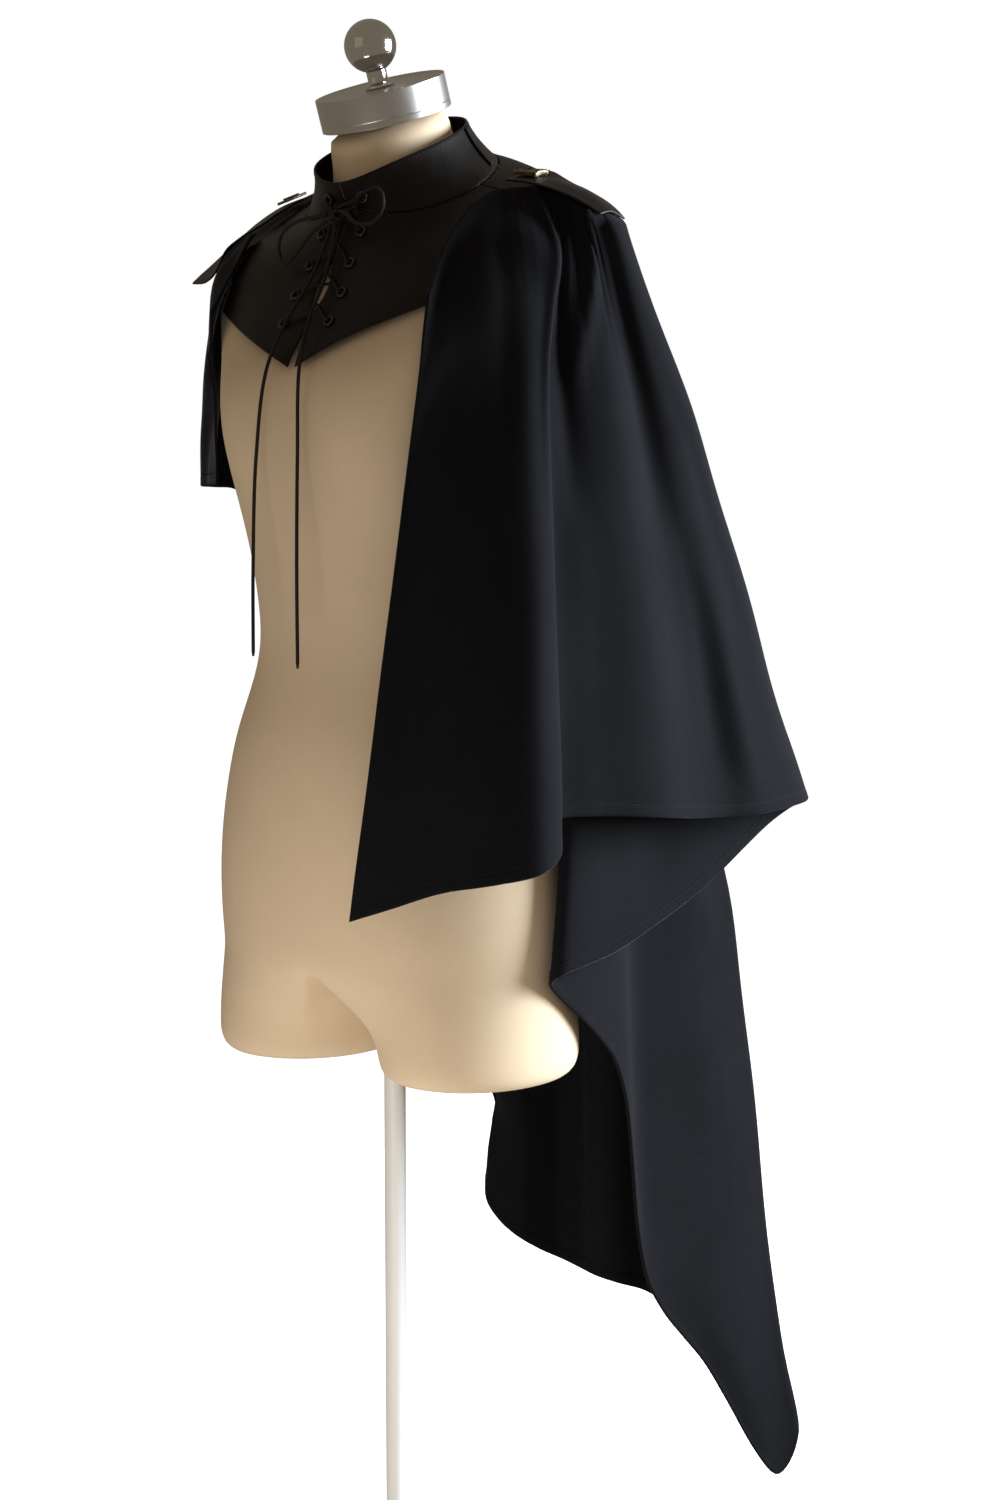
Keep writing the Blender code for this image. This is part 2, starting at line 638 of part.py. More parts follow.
def front_leather(x, z, lift):
    """Point over the leather fronts near the centre, this far out from their outer face."""
    def at_angle(angle, at_z):
        low = form_off(seam_height(angle), angle, UNDER_LEATHER + LEATHER)[2]
        if at_z <= low:
            return form_off(form_height(at_z, angle), angle, UNDER_LEATHER + LEATHER)
        high = stand_point(angle, 1.0, 1)[2]
        return stand_point(angle, (at_z - low) / (high - low), 1)

    def spot(at_x, at_z):
        few, many = -1.0, 1.0
        for _ in range(30):
            middle = (few + many) / 2
            if at_angle(middle, at_z)[0] < at_x:
                few = middle
            else:
                many = middle
        return at_angle(middle, at_z)

    p = spot(x, z)
    right = spot(x + 0.002, z) - spot(x - 0.002, z)
    up = spot(x, z + 0.002) - spot(x, z - 0.002)
    normal = np.cross(right, up)
    normal /= np.linalg.norm(normal)
    return p + normal * lift, normal


def build_eyelets(material):
    """Eyelets with their barrels, and the holes they need, one cutter per leather piece."""
    holes = {}
    number = 0
    for row, (z, x) in enumerate(EYELETS):
        for side, word in ((1, "left"), (-1, "right")):
            number += 1
            place, normal = front_leather(side * x, z, EYELET_LIFT)
            turn = Vector((0, 0, 1)).rotation_difference(Vector(normal)).to_matrix().to_4x4()
            frame = Matrix.Translation(place) @ turn
            low = -LEATHER - EYELET_LIFT
            profile = [(EYELET_BORE, low), (EYELET_BARREL, low), (EYELET_BARREL, 0.0), (EYELET_OUTER, 0.0),
                       (EYELET_OUTER * 0.86, EYELET_RISE * 0.8), (EYELET_BARREL, EYELET_RISE),
                       (EYELET_BORE, EYELET_RISE * 0.5), (EYELET_BORE, low)]
            ring = turned(f"eyelet_{word}_{row + 1}", profile, EYELET_SIDES, material)
            ring.data.transform(frame)
            piece = ("collar_stand_" if row == 0 else "yoke_") + word
            holes.setdefault(piece, []).append(frame)
    return holes


def punch(piece, frames, material):
    """Cut the eyelet holes out of a leather piece."""
    bm = bmesh.new()
    for frame in frames:
        bmesh.ops.create_cone(bm, cap_ends=True, segments=14, radius1=EYELET_HOLE, radius2=EYELET_HOLE,
                              depth=0.012, matrix=frame)
    mesh = bpy.data.meshes.new(piece.name + "_cutter")
    bm.to_mesh(mesh)
    bm.free()
    cutter = add_object(piece.name + "_cutter", mesh, material)
    cut(piece, cutter)


def build_collar(leather):
    """Stand in three pieces and yoke in three pieces."""
    pieces = {}
    plan = (
        ("collar_stand_left", 0.0, SIDE_SEAM - 0.12, 15, True, 1),
        ("collar_stand_right", 0.0, SIDE_SEAM - 0.12, 15, True, -1),
        ("collar_stand_back", SIDE_SEAM + 0.12, 360.0 - SIDE_SEAM - 0.12, 12, False, 1),
    )
    for name, first, last, columns, front, side in plan:
        inner = stand_grid(first, last, columns, 4, 0, front, side)
        outer = stand_grid(first, last, columns, 4, 1, front, side)
        pieces[name] = wall(name, inner, outer, leather)
    spots = yoke_front_spots(16, 9)
    for name, side in (("yoke_left", 1), ("yoke_right", -1)):
        pieces[name] = wall(name, yoke_front_grid(spots, 0, side), yoke_front_grid(spots, 1, side), leather)
    pieces["yoke_back"] = wall("yoke_back", yoke_back_grid(22, 4, 0), yoke_back_grid(22, 4, 1), leather)
    return pieces


def lace_path(side):
    """One run of lace from the lowest eyelet up to the knot: over its own front, then under the other."""
    points = []
    now = side
    for k in range(len(EYELETS) - 1, -1, -1):
        z, x = EYELETS[k]
        under = LACE_UNDER - (LACE_NECK_DROP if k < 2 else 0.0)
        points.append(front_leather(now * x, z, under if k == 0 else LACE_UNDER)[0])
        points.append(front_leather(now * x, z, -0.0008)[0])
        points.append(front_leather(now * x * 0.95, z + 0.0004, LACE_HUMP)[0])
        if k == 0:
            break
        next_z, next_x = EYELETS[k - 1]
        reach = x + next_x
        for share, lift in ((0.0068 / reach, LACE_OVER + 0.0010), ((x - LACE_EDGE) / reach, LACE_OVER - 0.0002),
                            (x / reach, LACE_MIDDLE), ((x + LACE_EDGE) / reach, under + 0.0002)):
            bow = now * LACE_BOW * math.sin(math.pi * share) ** 2
            points.append(front_leather(now * (x - reach * share), z + (next_z - z) * share + bow, lift)[0])
        now = -now
    knot = np.array(KNOT_PLACE)
    points.append(front_leather(now * 0.0125, 1.3560, LACE_HUMP + 0.0010)[0])
    points.append(knot + np.array([now * (KNOT_HALF[0] + 0.0013), 0.0020, 0.0022]))
    return points


def build_lace(material):
    """Two laced runs, the knot, two loops and two tails."""
    tube("lace_run_left", curve_near(lace_path(1), 2), LACE_RADIUS, material)
    tube("lace_run_right", curve_near(lace_path(-1), 2), LACE_RADIUS, material)
    for name, path, count in (("lace_loop_left", LOOP_LEFT, 16), ("lace_loop_right", LOOP_RIGHT, 16),
                              ("lace_tail_left", TAIL_LEFT, 14), ("lace_tail_right", TAIL_RIGHT, 14)):
        tube(name, curve_through(path, count), LACE_RADIUS, material)
    bm = bmesh.new()
    shape = Matrix.Translation(KNOT_PLACE) @ Matrix.Diagonal((*KNOT_HALF, 1.0))
    bmesh.ops.create_icosphere(bm, subdivisions=2, radius=1.0, matrix=shape)
    mesh = bpy.data.meshes.new("lace_knot")
    bm.to_mesh(mesh)
    bm.free()
    add_object("lace_knot", mesh, material)


def grid_normals(grid):
    """Unit normals of a grid of points."""
    along = np.gradient(grid, axis=1)
    down = np.gradient(grid, axis=0)
    normal = np.cross(along, down)
    return normal / np.linalg.norm(normal, axis=2, keepdims=True)


def cape_guide(row, share):
    """Point of a guide line: share 0 at the seam and 1 at the hem."""
    seam = np.array(row[0:3])
    hem = np.array(row[3:6])
    swing = 1 - (1 - share) ** row[6]
    return np.array([seam[0] + (hem[0] - seam[0]) * swing, seam[1] + (hem[1] - seam[1]) * swing,
                     seam[2] + (hem[2] - seam[2]) * share])


def cape_places():
    """Where each guide lies along the cloth, by the root of the distance between them low down."""
    low = np.array([cape_guide(row, 0.75) for row in CAPE_GUIDES])
    steps = np.sqrt(np.linalg.norm(np.diff(low, axis=0), axis=1))
    return np.concatenate([[0.0], np.cumsum(steps)])


def cape_sheet():
    """Middle surface of the whole cape with its normals, and the columns where its panels meet."""
    places = cape_places()
    spots = []
    cuts = [0]
    for name, first, last, columns in CAPE_PANELS:
        ends = np.interp((first, last), range(len(places)), places)
        run = np.linspace(ends[0], ends[1], columns + 1)
        spots += list(run if not spots else run[1:])
        cuts.append(len(spots) - 1)
    grid = np.zeros((CAPE_ROWS + 1, len(spots), 3))
    for r in range(CAPE_ROWS + 1):
        share = (r / CAPE_ROWS) ** 1.2
        line = np.array([cape_guide(row, share) for row in CAPE_GUIDES])
        grid[r] = [smooth(spot, places, line) for spot in spots]
    cloud = form_cloud()
    for _ in range(2):
        grid = clear_of_form(grid.reshape(-1, 3), cloud, CLOTH_CLEAR).reshape(grid.shape)
        grid[1:-1] = grid[1:-1] * 0.6 + (grid[:-2] + grid[2:]) * 0.2
    grid = clear_of_form(grid.reshape(-1, 3), cloud, CLOTH_CLEAR).reshape(grid.shape)
    return grid, -grid_normals(grid), cuts


def build_cape(cloth):
    """The cape's panels, each a wall of cloth with a small gap to the next."""
    grid, normal, cuts = cape_sheet()
    for (name, _, _, _), first, last in zip(CAPE_PANELS, cuts, cuts[1:]):
        part = grid[:, first:last + 1].copy()
        out = normal[:, first:last + 1]
        for here, beside in ((0, 1), (-1, -2)):
            run = part[:, beside] - part[:, here]
            run /= np.linalg.norm(run, axis=1, keepdims=True)
            part[:, here] += run * SEAM_GAP * 0.55
        wall(name, part - out * CLOTH / 2, part + out * CLOTH / 2, cloth)


def build_epaulettes(leather):
    """A curved flap along each shoulder; gives back their outer faces."""
    flaps = {}
    cloud = form_cloud()
    for name, table, side in (("epaulette_left", EPAULETTE_LEFT, 1), ("epaulette_right", EPAULETTE_RIGHT, -1)):
        table = np.asarray(table)
        grid = np.zeros((EPAULETTE_ROWS + 1, EPAULETTE_COLUMNS + 1, 3))
        for c in range(EPAULETTE_COLUMNS + 1):
            x = table[0, 0] + (table[-1, 0] - table[0, 0]) * c / EPAULETTE_COLUMNS
            row = smooth(x, table[:, 0], table[:, 1:])
            across = np.array([[side * x, row[0], row[1]], [side * x, row[2], row[3]], [side * x, row[4], row[5]]])
            for r in range(EPAULETTE_ROWS + 1):
                grid[r, c] = smooth(2 * r / EPAULETTE_ROWS, (0.0, 1.0, 2.0), across)
        grid = clear_of_form(grid.reshape(-1, 3), cloud, FLAP_CLEAR).reshape(grid.shape)
        normal = grid_normals(grid)
        if normal[3, 3, 2] < 0:
            normal = -normal
        wall(name, grid, grid + normal * LEATHER, leather)
        flaps[side] = (grid + normal * LEATHER, normal)
    return flaps


def build_straps(leather, brass, flaps):
    """A narrow strap from the stand's top down to each shoulder, with a buckle on its flap."""
    for word, side in (("left", 1), ("right", -1)):
        angle = math.radians(STRAP_ANGLE) * side
        rows = 8
        inner = np.zeros((rows + 1, 3, 3))
        outer = np.zeros_like(inner)
        for r in range(rows + 1):
            share = 0.97 - 0.90 * r / rows
            for c in range(3):
                turn = angle + (c - 1) * STRAP_WIDTH / 2 / 0.072
                inside = stand_point(turn, share, 1)
                out = inside - stand_point(turn, share, 0)
                out /= np.linalg.norm(out)
                inner[r, c] = inside + out * 0.0004
                outer[r, c] = inside + out * (0.0004 + STRAP_THICK)
        wall(f"strap_{word}", inner, outer, leather)
        face, normal = flaps[side]
        long = Vector(face[3, 2] - face[3, 0]).normalized()
        up = Vector(normal[3, 1])
        long -= up * long.dot(up)
        long.normalize()
        frame = Matrix((long, up.cross(long), up)).transposed().to_4x4()
        frame = Matrix.Translation(Vector(face[3, 1]) + up * (BUCKLE_THICK / 2 + 0.0024)) @ frame
        bm = bmesh.new()
        bmesh.ops.create_cube(bm, size=1.0, matrix=Matrix.Diagonal((BUCKLE_LONG, BUCKLE_WIDE, BUCKLE_THICK, 1.0)))
        flat = [f for f in bm.faces if abs(f.normal.z) > 0.9]
        bmesh.ops.inset_individual(bm, faces=flat, thickness=BUCKLE_BAR)
        bmesh.ops.bridge_loops(bm, edges=[e for f in flat for e in f.edges])
        bmesh.ops.delete(bm, geom=flat, context="FACES_ONLY")
        bmesh.ops.recalc_face_normals(bm, faces=bm.faces)
        bmesh.ops.transform(bm, matrix=frame, verts=bm.verts)
        mesh = bpy.data.meshes.new(f"buckle_{word}")
        bm.to_mesh(mesh)
        bm.free()
        add_object(f"buckle_{word}", mesh, brass)


def main():
    """Build every piece in its place."""
    clear_scene()
    linen = make_material("linen", (0.80, 0.76, 0.68), 0.9)
    cloth = make_material("cloth", (0.02, 0.02, 0.022), 0.9)
    leather = make_material("leather", (0.035, 0.028, 0.026), 0.45)
    cord = make_material("cord", (0.02, 0.02, 0.02), 0.7)
    steel = make_material("steel", (0.60, 0.60, 0.60), 0.35, 1.0)
    painted = make_material("painted", (0.78, 0.78, 0.76), 0.4)
    antique = make_material("antique", (0.10, 0.095, 0.09), 0.4, 1.0)
    brass = make_material("brass", (0.60, 0.47, 0.30), 0.35, 1.0)
    build_form(linen)
    build_hardware(steel, painted)
    pieces = build_collar(leather)
    holes = build_eyelets(antique)
    for name, frames in holes.items():
        punch(pieces[name], frames, leather)
    build_lace(cord)
    build_cape(cloth)
    flaps = build_epaulettes(leather)
    build_straps(leather, brass, flaps)


main()
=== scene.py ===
"""Looks of an asymmetric cape with a laced leather collar, on a dress form with a stand.

Metres, +Z up.  The form faces -Y and its left side is +X.  The floor is z = 0.
"""
import math

import bmesh
import bpy
import numpy as np
from mathutils import Matrix
from mathutils import Vector


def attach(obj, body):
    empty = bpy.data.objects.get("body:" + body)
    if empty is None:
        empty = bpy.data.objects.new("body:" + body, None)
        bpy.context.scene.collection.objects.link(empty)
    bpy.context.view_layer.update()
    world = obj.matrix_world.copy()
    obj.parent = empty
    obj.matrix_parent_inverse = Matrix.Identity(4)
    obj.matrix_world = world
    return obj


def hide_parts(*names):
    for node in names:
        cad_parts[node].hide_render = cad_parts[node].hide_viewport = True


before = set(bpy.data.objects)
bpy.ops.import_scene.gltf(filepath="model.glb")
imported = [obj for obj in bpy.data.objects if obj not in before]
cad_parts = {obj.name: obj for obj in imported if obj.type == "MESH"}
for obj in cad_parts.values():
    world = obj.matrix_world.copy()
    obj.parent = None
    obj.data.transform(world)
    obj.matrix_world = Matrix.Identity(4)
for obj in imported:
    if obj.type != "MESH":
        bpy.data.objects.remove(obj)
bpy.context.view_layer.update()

bl_info = {
    "name": "Laced collar cape",
    "version": (1, 0, 0),
    "blender": (4, 5, 0),
    "location": "View3D > Sidebar > Cape",
    "description": "Cloth, leather, lace and fittings of the cape over its solids",
    "category": "Object",
}

# Dress form: one row per ring.  The lean is the rise of the ring's plane towards the back.
# height, centre_y, half_width, front, back, lean, power
FORM_ROWS = (
    (0.722, 0.0, 0.175, 0.115, 0.12, 0.0, 2.0),
    (0.75, 0.0, 0.176, 0.119, 0.123, 0.0, 2.0),
    (0.81, 0.0, 0.174, 0.122, 0.124, 0.0, 2.0),
    (0.9, -0.004, 0.154, 0.113, 0.105, 0.0, 2.0),
    (0.99, -0.008, 0.121, 0.093, 0.08, 0.0, 2.0),
    (1.05, -0.004, 0.127, 0.102, 0.086, 0.0, 2.0),
    (1.105, 0.0, 0.137, 0.114, 0.092, 0.0, 2.0),
    (1.175, 0.0, 0.148, 0.119, 0.102, 0.0, 2.0),
    (1.215, 0.0, 0.158, 0.115, 0.106, 0.0, 2.1),
    (1.262, 0.003, 0.175, 0.101, 0.108, 0.12, 2.2),
    (1.306, 0.006, 0.181, 0.087, 0.104, 0.3, 2.3),
    (1.336, 0.008, 0.168, 0.076, 0.094, 0.42, 2.3),
    (1.35, 0.01, 0.14, 0.073, 0.086, 0.5, 2.2),
    (1.36, 0.012, 0.108, 0.0715, 0.08, 0.54, 2.1),
    (1.368, 0.012, 0.082, 0.068, 0.072, 0.55, 2.0),
    (1.384, 0.01, 0.059, 0.056, 0.059, 0.48, 2.0),
    (1.405, 0.004, 0.051, 0.0515, 0.051, 0.4, 2.0),
    (1.432, -0.004, 0.05, 0.05, 0.05, 0.36, 2.0),
)
FORM_TABLE = np.asarray(FORM_ROWS)
FORM_SIDES = 48
LINEN_RADIUS = 0.145
FORM_RINGS = (0.722, 0.741, 0.76, 0.785, 0.81, 0.835, 0.86, 0.882, 0.905, 0.928, 0.95, 0.97, 0.99, 1.01,
              1.03, 1.05, 1.07, 1.09, 1.11, 1.128, 1.145, 1.16, 1.175, 1.19, 1.205, 1.22, 1.235, 1.25,
              1.265, 1.28, 1.295, 1.307, 1.318, 1.327, 1.336, 1.343, 1.35, 1.355, 1.36, 1.365, 1.369, 1.376,
              1.382, 1.393, 1.405, 1.418, 1.432)
BUST_OUT = 0.021
BUST_X = 0.076
BUST_Z = 1.178
BUST_REACH_X = 0.052
BUST_REACH_Z = 0.068
STUB_X = 0.0955
STUB_Y = 0.002
STUB_HALF_WIDTH = 0.0805
STUB_HALF_DEPTH = 0.094
STUB_BOTTOM = 0.627
CROTCH_DIP = 0.018
BRIDGE_POINTS = 15
# share of the way from the crotch ring to the oval, height above the bottom, size of the oval
STUB_RINGS = (
    (0.22, 0.083, 1.0),
    (0.45, 0.07, 1.0),
    (0.67, 0.057, 1.0),
    (0.85, 0.045, 1.0),
    (0.95, 0.032, 1.0),
    (1.0, 0.02, 1.0),
    (1.0, 0.012, 0.985),
    (1.0, 0.006, 0.96),
    (1.0, 0.001, 0.9),
    (1.0, 0.0, 0.83),
    (1.0, 0.0, 0.5),
)

# Neck cap, finial and stand
CAP_RADIUS = 0.0555
CAP_HEIGHT = 0.027
STEM_RADIUS = 0.0085
BALL_RADIUS = 0.0218
BALL_RISE = 0.033
POLE_RADIUS = 0.0095
POLE_TOP = 0.8
BASE_RADIUS = 0.17
BASE_HEIGHT = 0.012
BOSS_RADIUS = 0.028
BOSS_HEIGHT = 0.022
FIT_GAP = 0.0003

# Leather collar
LEATHER = 0.002
UNDER_LEATHER = 0.0052
STAND_TOP_Z = 1.412
STAND_TOP_RADIUS = 0.065
STAND_TOP_LEAN = 0.45
STAND_DIP = 0.009
STAND_DIP_REACH = 38.0
STAND_HOLLOW = 0.003
SEAM_HEIGHT = 1.366
SEAM_FRONT_RISE = 0.015
SEAM_RISE_REACH = 42.0
SIDE_SEAM = 128.0
SHOULDER_SEAM = 91.0
GAP_BOTTOM = 0.0062
# height, half the opening between the fronts as they are laced
FRONT_GAP = (
    (1.2, 0.006),
    (1.225, 0.004),
    (1.245, 0.0014),
    (1.264, 0.0018),
    (1.276, 0.0062),
    (1.29, 0.006),
    (1.303, 0.0016),
    (1.33, 0.0007),
    (1.362, 0.0006),
    (1.42, 0.0006),
)
GAP_REACH = 0.018
YOKE_TIP_Z = 1.219
YOKE_CORNER_Z = 1.271
YOKE_HALF_WIDTH = 0.123
YOKE_CORNER_SHARE = 0.62
YOKE_CORNER_ANGLE = 58.0
YOKE_SIDE_HEIGHT = 1.355
YOKE_BACK_HEIGHT = 1.325
# Height and radius of the stand's and of the yoke's upper front corner
STAND_FRONT_Z = 1.38
STAND_FRONT_RADIUS = 0.062
YOKE_FRONT_Z = 1.355
YOKE_FRONT_RADIUS = 0.0605
# Degrees left between neighbours, drop of the yoke under its seam, distances of the stitching from the edges
SEAM_GAP = 0.12
SEAM_DROP = 0.0004
SEAM_INSET = 0.0022
STAND_INSET = 0.003
YOKE_INSET = 0.0036
# Flat sizes of the leather
STAND_FLAT = (0.15, 0.075)
STAND_BACK_FLAT = (0.15, 0.06)
YOKE_FLAT = (0.17, 0.15)
YOKE_BACK_FLAT = (0.32, 0.07)

# Sides of the wearer, and their way along x
SIDES = (("left", 1), ("right", -1))

# Eyelets: height, distance from the front's centre
EYELETS = (
    (1.362, 0.0187),
    (1.33, 0.022),
    (1.303, 0.0226),
    (1.278, 0.026),
    (1.254, 0.0256),
)
EYELET_OUTER = 0.0054
EYELET_BARREL = 0.0032
EYELET_BORE = 0.0023
EYELET_HOLE = 0.0036
EYELET_RISE = 0.0013
EYELET_LIFT = 0.0008

# Lace
LACE_RADIUS = 0.0012
FREE_LACE_RADIUS = 0.0015
LACE_OVER = 0.002
LACE_HUMP = 0.0042
LACE_UNDER = -0.0039
LACE_NECK_DROP = 0.0018
LACE_EDGE = 0.0043
LACE_MIDDLE = -0.001
LACE_BOW = 0.0046
KNOT_PLACE = (0.0, -0.069, 1.347)
KNOT_HALF = (0.0062, 0.005, 0.0048)
KNOT_TURNS = 2.6
KNOT_WRAP = 0.0036
# Loops and tails: x, y, z along each cord, from the knot outwards
LOOP_LEFT = (
    (0.0066, -0.07, 1.35),
    (0.018, -0.076, 1.347),
    (0.033, -0.079, 1.338),
    (0.048, -0.077, 1.337),
    (0.057, -0.074, 1.346),
    (0.056, -0.0715, 1.358),
    (0.047, -0.069, 1.366),
    (0.034, -0.068, 1.364),
    (0.018, -0.069, 1.356),
    (0.0058, -0.0715, 1.3525),
)
LOOP_RIGHT = (
    (-0.0068, -0.07, 1.348),
    (-0.018, -0.076, 1.346),
    (-0.033, -0.08, 1.343),
    (-0.047, -0.081, 1.336),
    (-0.053, -0.081, 1.325),
    (-0.05, -0.0815, 1.313),
    (-0.042, -0.083, 1.309),
    (-0.033, -0.081, 1.317),
    (-0.019, -0.077, 1.333),
    (-0.006, -0.0725, 1.3425),
)
TAIL_LEFT = (
    (0.002, -0.0708, 1.3405),
    (0.004, -0.076, 1.325),
    (0.008, -0.091, 1.292),
    (0.012, -0.113, 1.26),
    (0.018, -0.131, 1.22),
    (0.019, -0.135, 1.15),
    (0.018, -0.136, 1.06),
    (0.017, -0.135, 0.977),
)
TAIL_RIGHT = (
    (-0.002, -0.0712, 1.34),
    (-0.0045, -0.078, 1.32),
    (-0.008, -0.093, 1.29),
    (-0.012, -0.114, 1.26),
    (-0.018, -0.132, 1.22),
    (-0.026, -0.137, 1.15),
    (-0.031, -0.137, 1.06),
    (-0.033, -0.136, 0.985),
)
# Free cords: piece, node, line, far end
FREE_LACES = (
    ("lace_bow_left", "lace_loop_left", LOOP_LEFT, "object"),
    ("lace_bow_right", "lace_loop_right", LOOP_RIGHT, "object"),
    ("lace_end_left", "lace_tail_left", TAIL_LEFT, "bare"),
    ("lace_end_right", "lace_tail_right", TAIL_RIGHT, "bare"),
)

# Shoulder flaps: along the shoulder, x, front edge y and z, ridge y and z, back edge y and z
FLAP_CLEAR = 0.0125
EPAULETTE_LEFT = (
    (0.122, 0.004, 1.372, 0.025, 1.377, 0.05, 1.378),
    (0.15, 0.003, 1.367, 0.026, 1.3725, 0.053, 1.372),
    (0.176, 0.006, 1.3585, 0.028, 1.3635, 0.055, 1.36),
    (0.194, 0.011, 1.35, 0.031, 1.354, 0.054, 1.3495),
    (0.208, 0.0185, 1.34, 0.033, 1.343, 0.0505, 1.339),
)
EPAULETTE_RIGHT = (
    (0.122, -0.012, 1.36, 0.024, 1.3765, 0.052, 1.378),
    (0.15, -0.02, 1.34, 0.0245, 1.371, 0.057, 1.372),
    (0.18, -0.021, 1.319, 0.024, 1.359, 0.061, 1.362),
    (0.211, -0.013, 1.306, 0.023, 1.341, 0.059, 1.345),
    (0.244, 0.0015, 1.307, 0.02, 1.319, 0.045, 1.324),
)
FLAPS = (
    ("left", EPAULETTE_LEFT, 1, (0.115, 0.07)),
    ("right", EPAULETTE_RIGHT, -1, (0.165, 0.105)),
)
EPAULETTE_COLUMNS = 8
EPAULETTE_ROWS = 6
STRAP_ANGLE = 116.0
STRAP_WIDTH = 0.012
STRAP_THICK = 0.0018
STRAP_LIFT = 0.0004
STRAP_RADIUS = 0.072
BUCKLE_LONG = 0.021
BUCKLE_WIDE = 0.019
BUCKLE_BAR = 0.0032
BUCKLE_THICK = 0.0024
BUCKLE_LIFT = 0.0016
PRONG_RADIUS = 0.0008
PRONG_LIFT = 0.0006

# Cape: one row per ridge, valley or edge, round the wearer from the left front to the right side
# seam x, y, z, hem x, y, z, flare (1 is straight, more swings out higher up)
CLOTH_CLEAR = 0.0097
CAPE_GUIDES = (
    (0.123, -0.093, 1.272, 0.085, -0.148, 0.777, 1.0),
    (0.12, -0.07, 1.312, 0.129, -0.15, 0.792, 1.1),
    (0.119, -0.038, 1.347, 0.18, -0.144, 0.81, 1.3),
    (0.124, -0.009, 1.364, 0.222, -0.133, 0.819, 1.5),
    (0.137, 0.0, 1.3645, 0.2525, -0.112, 0.828, 1.5),
    (0.149, 0.0065, 1.363, 0.249, -0.082, 0.841, 1.5),
    (0.162, 0.008, 1.36, 0.223, -0.061, 0.861, 1.5),
    (0.177, 0.008, 1.355, 0.234, -0.018, 0.862, 1.4),
    (0.191, 0.012, 1.348, 0.256, 0.045, 0.856, 1.3),
    (0.203, 0.016, 1.34, 0.248, 0.123, 0.847, 1.2),
    (0.212, 0.023, 1.332, 0.264, 0.185, 0.846, 1.1),
    (0.217, 0.032, 1.328, 0.265, 0.245, 0.849, 1.1),
    (0.216, 0.042, 1.329, 0.251, 0.268, 0.848, 1.1),
    (0.21, 0.05, 1.334, 0.233, 0.25, 0.833, 1.1),
    (0.201, 0.055, 1.34, 0.216, 0.15, 0.775, 1.1),
    (0.191, 0.058, 1.346, 0.206, 0.044, 0.738, 0.8),
    (0.184, 0.059, 1.35, 0.198, -0.0136, 0.727, 1.0),
    (0.178, 0.06, 1.354, 0.186, -0.015, 0.717, 1.0),
    (0.171, 0.062, 1.357, 0.182, 0.035, 0.678, 1.0),
    (0.159, 0.065, 1.362, 0.174, 0.098, 0.62, 1.2),
    (0.147, 0.07, 1.365, 0.156, 0.168, 0.41, 1.7),
    (0.134, 0.077, 1.367, 0.162, 0.25, 0.31, 1.6),
    (0.122, 0.085, 1.368, 0.185, 0.335, 0.185, 1.4),
    (0.109, 0.094, 1.368, 0.187, 0.353, 0.232, 1.45),
    (0.094, 0.102, 1.368, 0.14, 0.35, 0.265, 1.5),
    (0.076, 0.11, 1.368, 0.104, 0.302, 0.312, 1.7),
    (0.056, 0.116, 1.368, 0.056, 0.318, 0.337, 1.7),
    (0.033, 0.121, 1.368, 0.028, 0.27, 0.361, 1.8),
    (0.009, 0.123, 1.368, -0.033, 0.288, 0.362, 1.8),
    (-0.016, 0.123, 1.368, -0.06, 0.245, 0.392, 1.7),
    (-0.04, 0.12, 1.368, -0.109, 0.256, 0.422, 1.7),
    (-0.062, 0.114, 1.368, -0.098, 0.26, 0.51, 1.7),
    (-0.085, 0.105, 1.368, -0.145, 0.22, 0.63, 1.6),
    (-0.108, 0.093, 1.368, -0.182, 0.214, 0.76, 1.6),
    (-0.133, 0.078, 1.367, -0.206, 0.15, 0.89, 1.5),
    (-0.16, 0.066, 1.362, -0.24, 0.126, 1.03, 1.4),
    (-0.19, 0.056, 1.346, -0.244, 0.07, 1.115, 1.6),
    (-0.212, 0.04, 1.33, -0.25, 0.035, 1.123, 1.8),
    (-0.215, 0.0, 1.308, -0.244, 0.008, 1.124, 2.0),
    (-0.172, -0.022, 1.32, -0.218, -0.008, 1.125, 1.7),
    (-0.124, -0.042, 1.342, -0.198, -0.023, 1.1255, 1.5),
    (-0.123, -0.093, 1.272, -0.175, -0.038, 1.126, 1.3),
)
CAPE_ROWS = 13
# first guide, last guide, columns of each panel of the solids
CAPE_PANELS = (
    (0.0, 7.4, 24),
    (7.4, 15.0, 22),
    (15.0, 31.5, 38),
    (31.5, 41.0, 20),
)
CAPE_NODES = ("cape_front", "cape_side", "cape_back", "cape_right")
CLOTH_COLUMNS = 400
CLOTH_STEPS = 60
# Distances from the hem, in metres, of the rows that carry the turned-up band and its stitching
HEM_ROWS = (0.0175, 0.015, 0.0135, 0.0125, 0.0118, 0.0112, 0.0106, 0.01, 0.0094, 0.0085, 0.006, 0.003, 0.0012, 0.0)
STITCH_ROW = 7
# Shares of the first and of the last step between guides, where columns are added for the edges
FRONT_EDGE_COLUMNS = (0.03, 0.07, 0.14, 0.19, 0.21, 0.225, 0.24, 0.26, 0.3)
LAST_EDGE_COLUMNS = (0.03, 0.08)
# Turned-up band along the hem and the front edge: stitching, where the band ends, its relief and groove
HEM_STITCH = 0.01
HEM_BAND = (0.0112, 0.012)
HEM_RELIEF = 0.0002
GROOVE_DEPTH = 0.00045
GROOVE_HALF = 0.0009
EDGE_ROUND = 0.0012
